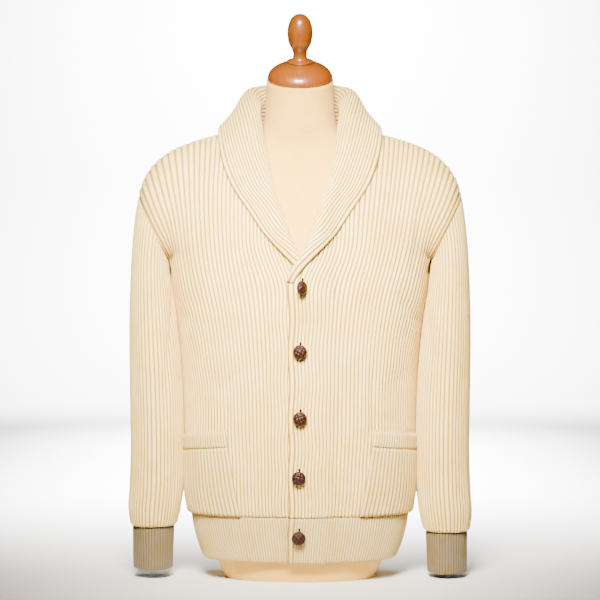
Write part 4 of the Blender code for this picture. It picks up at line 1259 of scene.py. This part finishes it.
def makeCuff(hand):
    # a tube between two ovals, with three soft waves round its end
    end, seam = cuff["heights"][hand]
    across, ribs = ribColumns(cuff["ribs"])
    angle = 2 * math.pi * evenTurns(across[:-1], cuff["halfWidth"], cuff["halfDepth"])[None, :]
    share = np.concatenate([np.linspace(0, 0.95, 14), [0.975, 0.99, 1.0]])[:, None]
    slim = (cover, -cover, cover)
    outX, inX, depth = (
        top + (low - top) * share - less for top, low, less in zip(cuff["top"], cuff["end"], slim)
    )
    wave = cuff["wave"] * np.sin(3 * angle + share * 2.0) * share
    x = (outX + inX) / 2 + ((outX - inX) / 2 + wave) * np.cos(angle)
    y = sleeveRings["y"][-1] - (depth + wave) * np.sin(angle)
    z = seam - cloth["seam"] + (end - seam) * share + 0 * angle
    points = np.stack([x, y, z], axis=-1)
    way = tubeWays(points)[0]
    way[..., 2] = 0
    way = unit(way)
    down = share * (seam - end) + 0 * angle
    heights = ribHeights(ribs[:-1], seamFade(down), share=cuff["ribShare"])
    heights = heights * roundOff((1 - share) * (seam - end), cloth["hemRoll"])
    putOnSide(hand, points, way)
    return clothPiece(f"cuff_{hand}_knit", points, way, heights, ribs + plainStart, cuffWoolShaded, closed=True)


for hand in ("left", "right"):
    declareSheet(makeSleeve(hand), sleeve["cut"], f"sleeve_{hand}")
    declareSheet(makeCuff(hand), cuff["cut"], f"cuff_{hand}")
print("cardigan: sleeves and cuffs made")


# the collar's plain face from the back centre (0) to the front end (1) on the left side: the seam, the
# fold beside the neck, the top of the roll, the middle and the free edge
collarLine = table(
    (
        "place",
        "seamX", "seamY", "seamZ",
        "foldX", "foldY", "foldZ",
        "rollX", "rollY", "rollZ",
        "midX", "midY", "midZ",
        "edgeX", "edgeY", "edgeZ",
    ),
    (
        (0.000, 0.0000, 0.0675, 0.7200, 0.0000, 0.0655, 0.7780, 0.0000, 0.0740, 0.7900,
         0.0000, 0.0850, 0.7560, 0.0000, 0.0810, 0.7010),
        (0.113, 0.0385, 0.0535, 0.7190, 0.0345, 0.0570, 0.7770, 0.0395, 0.0640, 0.7895,
         0.0490, 0.0750, 0.7530, 0.0570, 0.0710, 0.6960),
        (0.225, 0.0640, 0.0275, 0.7175, 0.0570, 0.0340, 0.7720, 0.0660, 0.0400, 0.7830,
         0.0860, 0.0510, 0.7450, 0.0990, 0.0500, 0.6970),
        (0.338, 0.0785, 0.0010, 0.7185, 0.0665, 0.0070, 0.7580, 0.0800, 0.0060, 0.7710,
         0.1080, 0.0050, 0.7380, 0.1268, 0.0040, 0.7145),
        (0.427, 0.0755, -0.0270, 0.7075, 0.0645, -0.0300, 0.7270, 0.0750, -0.0350, 0.7390,
         0.1040, -0.0350, 0.7225, 0.1290, -0.0395, 0.6985),
        (0.519, 0.0700, -0.0645, 0.6745, 0.0545, -0.0735, 0.6680, 0.0625, -0.0815, 0.6730,
         0.0900, -0.0750, 0.6755, 0.1220, -0.0715, 0.6575),
        (0.598, 0.0615, -0.0885, 0.6330, 0.0460, -0.0945, 0.6265, 0.0530, -0.1020, 0.6290,
         0.0780, -0.0975, 0.6280, 0.1090, -0.0890, 0.6230),
        (0.712, 0.0490, -0.1060, 0.5905, 0.0340, -0.1095, 0.5865, 0.0400, -0.1155, 0.5875,
         0.0590, -0.1130, 0.5830, 0.0800, -0.1075, 0.5775),
        (0.801, 0.0325, -0.1170, 0.5460, 0.0215, -0.1185, 0.5490, 0.0265, -0.1235, 0.5490,
         0.0400, -0.1230, 0.5420, 0.0550, -0.1187, 0.5415),
        (0.885, 0.0150, -0.1225, 0.5150, 0.0090, -0.1235, 0.5205, 0.0125, -0.1280, 0.5195,
         0.0190, -0.1285, 0.5155, 0.0270, -0.1250, 0.5110),
        (0.946, 0.0020, -0.1235, 0.4945, -0.0030, -0.1245, 0.4970, -0.0010, -0.1280, 0.4960,
         0.0010, -0.1283, 0.4935, 0.0050, -0.1262, 0.4880),
        (0.974, -0.0110, -0.1215, 0.4830, -0.0134, -0.1218, 0.4850, -0.0115, -0.1240, 0.4845,
         -0.0075, -0.1252, 0.4818, -0.0030, -0.1262, 0.4765),
        (1.000, -0.0194, -0.1208, 0.4650, -0.0192, -0.1216, 0.4655, -0.0180, -0.1218, 0.4655,
         -0.0140, -0.1219, 0.4652, -0.0093, -0.1222, 0.4650),
    ),
)
collar = {
    "lines": ("edge", "mid", "roll", "fold", "seam"),
    "ribs": 26, "rows": 181, "insideEvery": 6,
    "full": 0.338,  # all ribs run from the back to this place, then end one by one at the seam
    "crosses": 0.55,  # from here on the left end lies on the right front
    "ends": {"left": 1.0, "right": 0.950},
    "width": 0.15,  # about, for its rolled edge
    "cut": {
        "flat": (0.180, 1.050), "area": 0.110,
        "rests": ["front_left_knit", "front_right_knit", "back_knit"],
    },
}


def collarLines(place):
    # the five lines' points at a place, from the free edge to the seam
    lines = [
        np.stack([smooth(collarLine["place"], collarLine[line + axis], place) for axis in "XYZ"], axis=-1)
        for line in collar["lines"]
    ]
    return np.stack(lines, axis=-2)


def collarWidths(lines):
    # length across the collar from its free edge to each line
    steps = np.linalg.norm(np.diff(lines, axis=-2), axis=-1)
    return np.concatenate([np.zeros(steps.shape[:-1] + (1,)), np.cumsum(steps, axis=-1)], axis=-1)


def collarPoint(place, ribsIn):
    # cubic across the five lines, so many shares of the ribs in from the free edge
    lines = collarLines(place)
    knots = collarWidths(lines)
    full = collarWidths(collarLines(np.minimum(place, collar["full"])))[..., -1]
    along = np.minimum(ribsIn * full, knots[..., -1])
    step = np.diff(knots, axis=-1)[..., None]
    chord = np.diff(lines, axis=-2) / step
    slopes = np.empty_like(lines)
    slopes[..., 0, :] = chord[..., 0, :]
    slopes[..., -1, :] = chord[..., -1, :]
    before, after = step[..., :-1, :], step[..., 1:, :]
    slopes[..., 1:-1, :] = (chord[..., :-1, :] * after + chord[..., 1:, :] * before) / (before + after)
    result = np.zeros(lines.shape[:-2] + (3,))
    last = len(collar["lines"]) - 2
    for here in range(last + 1):
        low, high = knots[..., here], knots[..., here + 1]
        inside = (along >= low) & ((along < high) | (here == last))
        t = ((along - low) / (high - low))[..., None]
        curve = cubic(
            t, (high - low)[..., None],
            lines[..., here, :], slopes[..., here, :], lines[..., here + 1, :], slopes[..., here + 1, :],
        )
        result = np.where(inside[..., None], curve, result)
    return result


def collarStart(ribsIn, end):
    # the place nearest the front end that each rib reaches
    places = np.linspace(collar["full"], end, 600)
    widths = collarWidths(collarLines(places))[:, -1]
    return np.interp(-ribsIn * widths[0], -widths, places)


def makeCollar():
    # from the left end (-1) round the neck to the right end (1)
    across, ribs = ribColumns(collar["ribs"], body["border"])
    share = np.linspace(-1, 1, collar["rows"])[:, None]
    left, right = (collarStart(across, collar["ends"][hand])[None, :] for hand in ("left", "right"))
    place = np.abs(share) * np.where(share < 0, left, right)
    points = collarPoint(place, across[None, :] + 0 * place)
    atFront = ease(place, collar["full"], collar["crosses"])
    lift = frontLift(points[..., 0], points[..., 2]) * atFront
    points[..., 1] -= np.where(share < 0, lift, 0)
    points[..., 0] *= np.where(share < 0, 1, -1)
    way = normals(points)
    way = way * np.sign(way[collar["rows"] // 2, 0, 1])
    length = lengthsAlong(points)
    heights = ribHeights(ribs, seamFade(length) * seamFade(length[-1:] - length), body["border"])
    heights = heights * roundOff(across * collar["width"], cloth["edgeRoll"])[None, :]
    every = collar["insideEvery"]
    return clothPiece("collar_knit", points, way, heights, ribs, wool, insideEvery=every)


declareSheet(makeCollar(), collar["cut"], "collar")
print("cardigan: collar made")


button = {
    "radius": 0.0112, "front": 0.0064, "back": 0.0056,
    "strip": 0.0062, "relief": 0.0012,  # width of a woven strip, and how far it stands out
    "turns": (0.9, 0.5, 1.2, 0.2, 0.7),  # how each button's weave is turned, in radians
    "rows": 56, "columns": 88,
}
buttonhole = {
    "length": 0.0070, "width": 0.0034, "depth": 0.0012,
    "aside": 0.001, "above": 0.0125,  # its middle, from the button's
    "rows": 13, "columns": 20,
    # of the lips and of the slit: shares of the width and length, and how far they stand forward
    "lips": (1.7, 1.15, 0.0), "slit": (1.0, 0.9, 0.00045),
}


def clothFront(x, z):
    # y of the fronts' plain face
    depth = -smooth(bodyRings["height"], bodyRings["front"], z)
    return depth - frontLift(abs(x), z)


def buttonFace(u, v, turn):
    # a flattened ball; u goes round and v from the crown to the back. Its front has square cells of
    # a plain weave: each holds one strip, cos^0.5 across it times 0.35 + 0.65 cos^0.7 along it
    radius = button["radius"]
    angle, down = 2 * math.pi * u, math.pi * v
    outward = np.sin(down) ** 0.85
    height = np.where(v < 0.5, button["front"], button["back"]) * np.cos(down)
    # the strips wrap round, so the cells are wider apart at the rim
    cells = outward * radius * (1 + 0.35 * outward**2) / button["strip"]
    cellX, cellY = cells * np.cos(angle + turn) + 0.5, cells * np.sin(angle + turn) + 0.5
    inX, inY = cellX - np.floor(cellX) - 0.5, cellY - np.floor(cellY) - 0.5
    even = (np.floor(cellX) + np.floor(cellY)) % 2 < 1
    over, along = np.where(even, inY, inX), np.where(even, inX, inY)
    crown = np.cos(math.pi * over) ** 0.5 * (0.35 + 0.65 * np.cos(math.pi * along) ** 0.7)
    crown = np.nan_to_num(crown)
    raised = button["relief"] * (crown - 0.75)
    fade = 1 - ease(v, 0.72, 0.92)
    width = radius * (1 + raised * fade / radius * 0.6) - 0.0003
    x, y = outward * np.cos(angle) * width, outward * np.sin(angle) * width
    return np.stack([x, y, height + raised * fade * np.cos(down)], -1), crown * fade + (1 - fade) * 0.4


def makeButton(number):
    x, z, tipped = (buttonPlaces[name][number] for name in ("x", "z", "turned"))
    v = np.linspace(0, 1, button["rows"])[:, None]
    u = (np.arange(button["columns"]) / button["columns"])[None, :]
    points, crown = buttonFace(u + 0 * v, v + 0 * u, button["turns"][number])
    tip = math.radians(tipped)
    reach = math.hypot(button["radius"] * math.sin(tip), button["back"] * math.cos(tip))
    # its axis is laid along -Y, then tipped about the upright
    across, forward = points[..., 0], -points[..., 2]
    placeY = clothFront(x, min(z, body["chest"])) - reach - cloth["laidOn"]
    turned = np.stack([
        across * math.cos(tip) - forward * math.sin(tip) + x,
        across * math.sin(tip) + forward * math.cos(tip) + placeY,
        points[..., 1] + z,
    ], axis=-1)
    piece = putBall(f"leather_button_{number + 1}", turned, leather, np.stack([crown, 0 * crown], -1))
    declareSolid(piece, "leather", f"button_{number + 1}")


def makeButtonhole(number):
    # a dark slit of painted shade between two rolled lips: two long thin balls, one in the other
    x, z = buttonPlaces["x"][number], buttonPlaces["z"][number]
    front = clothFront(x, min(z, body["chest"]))
    v = np.linspace(0, 1, buttonhole["rows"])[:, None]
    u = (np.arange(buttonhole["columns"]) / buttonhole["columns"])[None, :]
    marks = np.full((buttonhole["rows"], buttonhole["columns"], 2), plainStart + 0.5)
    # the lips take the band knit's painted shade, and the slit is a dark ball of painted shade
    for name, material in (("lips", bandWoolShaded), ("slit", slitShade)):
        wide, long, forward = buttonhole[name]
        ball = np.stack([
            np.sin(math.pi * v) * np.cos(2 * math.pi * u) * buttonhole["width"] / 2 * wide,
            np.sin(math.pi * v) * np.sin(2 * math.pi * u) * buttonhole["depth"] / 2,
            np.cos(math.pi * v) * buttonhole["length"] / 2 * long + 0 * u,
        ], axis=-1)
        ball = ball + np.array([x + buttonhole["aside"], front - forward, z + buttonhole["above"]])
        declareSolid(putBall(f"buttonhole_{name}_{number + 1}", ball, material, marks), "wool")


for number in range(len(buttonPlaces["x"])):
    makeButton(number)
    makeButtonhole(number)
print("cardigan: buttons made")


form = {
    "sides": 160, "rows": 150, "power": 2.3,
    "neckSeam": 0.707, "seamDepth": 0.0009, "seamWidth": 0.0011,
}
formRings = table(
    ("height", "halfWidth", "front", "back", "slope"),
    (
        (0.0000, 0.1180, 0.0800, 0.0770, 0.00),
        (0.0100, 0.1240, 0.0850, 0.0820, 0.00),
        (0.0500, 0.1420, 0.0960, 0.0920, 0.00),
        (0.1050, 0.1570, 0.1030, 0.0990, 0.00),
        (0.2000, 0.1630, 0.1070, 0.1020, 0.00),
        (0.3000, 0.1640, 0.1090, 0.1040, 0.00),
        (0.4000, 0.1720, 0.1100, 0.1050, 0.00),
        (0.4700, 0.1830, 0.1090, 0.1050, 0.00),
        (0.5300, 0.1950, 0.1040, 0.1010, 0.00),
        (0.5800, 0.2010, 0.0940, 0.0930, 0.00),
        (0.6200, 0.1970, 0.0800, 0.0820, 0.00),
        (0.6500, 0.1780, 0.0650, 0.0690, 0.00),
        (0.6700, 0.1460, 0.0530, 0.0600, 0.00),
        (0.6830, 0.1130, 0.0450, 0.0540, 0.02),
        (0.6940, 0.0830, 0.0440, 0.0510, 0.06),
        (0.7080, 0.0640, 0.0465, 0.0500, 0.12),
        (0.7300, 0.0565, 0.0485, 0.0500, 0.22),
        (0.7620, 0.0540, 0.0495, 0.0500, 0.34),
        (0.7912, 0.0535, 0.0496, 0.0496, 0.404),
    ),
)


def makeForm():
    # a superellipse at each height of the table, its halves of unlike depth, closed flat
    knots = np.arange(len(formRings["height"]))
    at = np.linspace(0, knots[-1], form["rows"])
    ring = {name: smooth(knots, formRings[name], at)[:, None] for name in formRings}
    turn = 2 * math.pi * (np.arange(form["sides"]) / form["sides"])[None, :]
    out, back = oval(turn, form["power"])
    depth = np.where(back < 0, ring["front"], ring["back"])
    groove = form["seamDepth"] * bell(ring["height"] - form["neckSeam"], form["seamWidth"])
    x = (ring["halfWidth"] - groove) * out
    y = (depth - groove) * back
    points = np.stack([x, y, ring["height"] + ring["slope"] * y], axis=-1)
    declareSolid(putTube("form_cover", points, cotton), "cotton", "form")


turnedWood = {
    "place": (0.0, 0.0, 0.796), "sides": 96, "rows": 70,
    # radius and height of each point of a profile, from the top down
    "cap": (
        (0.0215, 0.0243), (0.0300, 0.0221), (0.0400, 0.0172), (0.0480, 0.0103),
        (0.0518, 0.0030), (0.0515, -0.0020), (0.0480, -0.0040),
    ),
    "finial": (
        (0.0, 0.1035), (0.0075, 0.1018), (0.0150, 0.0945), (0.0194, 0.0820), (0.0203, 0.0700),
        (0.0180, 0.0570), (0.0125, 0.0452), (0.0108, 0.0380), (0.0124, 0.0312), (0.0165, 0.0290),
        (0.0212, 0.0272), (0.0205, 0.0246),
    ),
}


def makeTurned(name, node, outline):
    # a profile carried round an axis that leans forwards
    knots = np.arange(len(outline))
    at = np.unique(np.concatenate([np.linspace(0, knots[-1], turnedWood["rows"]), knots]))
    radius, height = (smooth(knots, column, at)[:, None] for column in np.array(outline).T)
    radius = np.maximum(radius, 0.0002)
    turn = 2 * math.pi * (np.arange(turnedWood["sides"]) / turnedWood["sides"])[None, :]
    x, y, z = radius * np.cos(turn), radius * np.sin(turn), height + 0 * turn
    lean = math.radians(woodLook["lean"])
    y, z = y * math.cos(lean) - z * math.sin(lean), y * math.sin(lean) + z * math.cos(lean)
    points = np.stack([x, y, z], axis=-1) + np.array(turnedWood["place"])
    declareSolid(putTube(name, points, wood, downwards=True), "wood", node)


makeForm()
makeTurned("turned_cap", "neck_cap", turnedWood["cap"])
makeTurned("turned_finial", "finial", turnedWood["finial"])
print("cardigan: form made")


warm, white = (1.0, 0.945, 0.85), (1, 1, 1)
studio = {
    "distance": 3.0, "height": 0.440,  # the camera's
    "frameWidth": 0.96, "sensor": 36.0,  # what it sees across at the form, in metres, and its film in mm
    "floorFrom": -4.5, "floorTo": 4.6, "bend": 1.0, "wallTop": 2.1, "halfWidth": 1.5,
    "paper": (0.92, 0.92, 0.92, 1), "paperRoughness": 0.9,
    "world": 0.02,
    # place, target, size, power, colour and spread in degrees
    "lights": {
        "soft": ((0.1, -2.6, 1.6), (0, 0, 0.48), (1.2, 0.9), 1.0, warm, 180),
        "beam": ((-0.1, -1.3, 1.20), (0, -0.1, 0.47), (0.5, 0.5), 18.0, warm, 46),
        "floor": ((0.0, 2.0, 3.0), (0, 2.1, 0.0), (1.0, 2.6), 230.0, white, 36),
        "top": ((0.0, 0.6, 2.4), (0, 0.1, 0.3), (1.4, 1.0), 0.3, white, 180),
        "wall": ((0.0, 3.4, 3.2), (0, 5.6, 0.9), (2.0, 1.0), 500.0, white, 90),
    },
}


def makeStage():
    # floor that curves up into a wall behind, as wide as the camera sees
    turn = np.linspace(0, math.pi / 2, 25)
    bend, floorTo = studio["bend"], studio["floorTo"]
    y = np.concatenate([[studio["floorFrom"]], floorTo + bend * np.sin(turn), [floorTo + bend]])
    z = np.concatenate([[0], bend - bend * np.cos(turn), [studio["wallTop"]]]) - 0.0001
    x = studio["halfWidth"] * np.array([[-1.0, 1.0]])
    y, z = y[:, None] + 0 * x, z[:, None] + 0 * x
    points = np.stack([x + 0 * y, y, z], axis=-1).reshape(-1, 3)
    faces = gridQuads(len(y), 2, False).reshape(-1, 4).tolist()
    paper = Paint("studio paper").finish(Base_Color=studio["paper"], Roughness=studio["paperRoughness"])
    putMesh("stage_paper", points, faces, paper)


def makeLight(name, place, target, size, power, colour, spread):
    light = bpy.data.lights.new(name, "AREA")
    light.shape = "RECTANGLE"
    light.size, light.size_y = size
    light.energy = power
    light.color = colour
    light.spread = math.radians(spread)
    lamp = bpy.data.objects.new(name, light)
    bpy.context.scene.collection.objects.link(lamp)
    x, y, z = np.array(target) - np.array(place)
    lamp.location = place
    lamp.rotation_euler = (math.atan2(math.hypot(x, y), -z), 0, math.atan2(y, x) - math.pi / 2)


def makeCamera():
    camera = bpy.data.cameras.new("camera")
    camera.sensor_width = studio["sensor"]
    camera.lens = studio["sensor"] * studio["distance"] / studio["frameWidth"]
    holder = bpy.data.objects.new("camera", camera)
    bpy.context.scene.collection.objects.link(holder)
    holder.location = (0, -studio["distance"], studio["height"])
    holder.rotation_euler = (math.pi / 2, 0, 0)
    bpy.context.scene.camera = holder


makeStage()
for name, light in studio["lights"].items():
    makeLight(name, *light)
world = bpy.data.worlds.new("studio")
world.use_nodes = True
background = world.node_tree.nodes["Background"]
background.inputs["Color"].default_value = white + (1,)
background.inputs["Strength"].default_value = studio["world"]
bpy.context.scene.world = world
makeCamera()
print("cardigan: studio made")
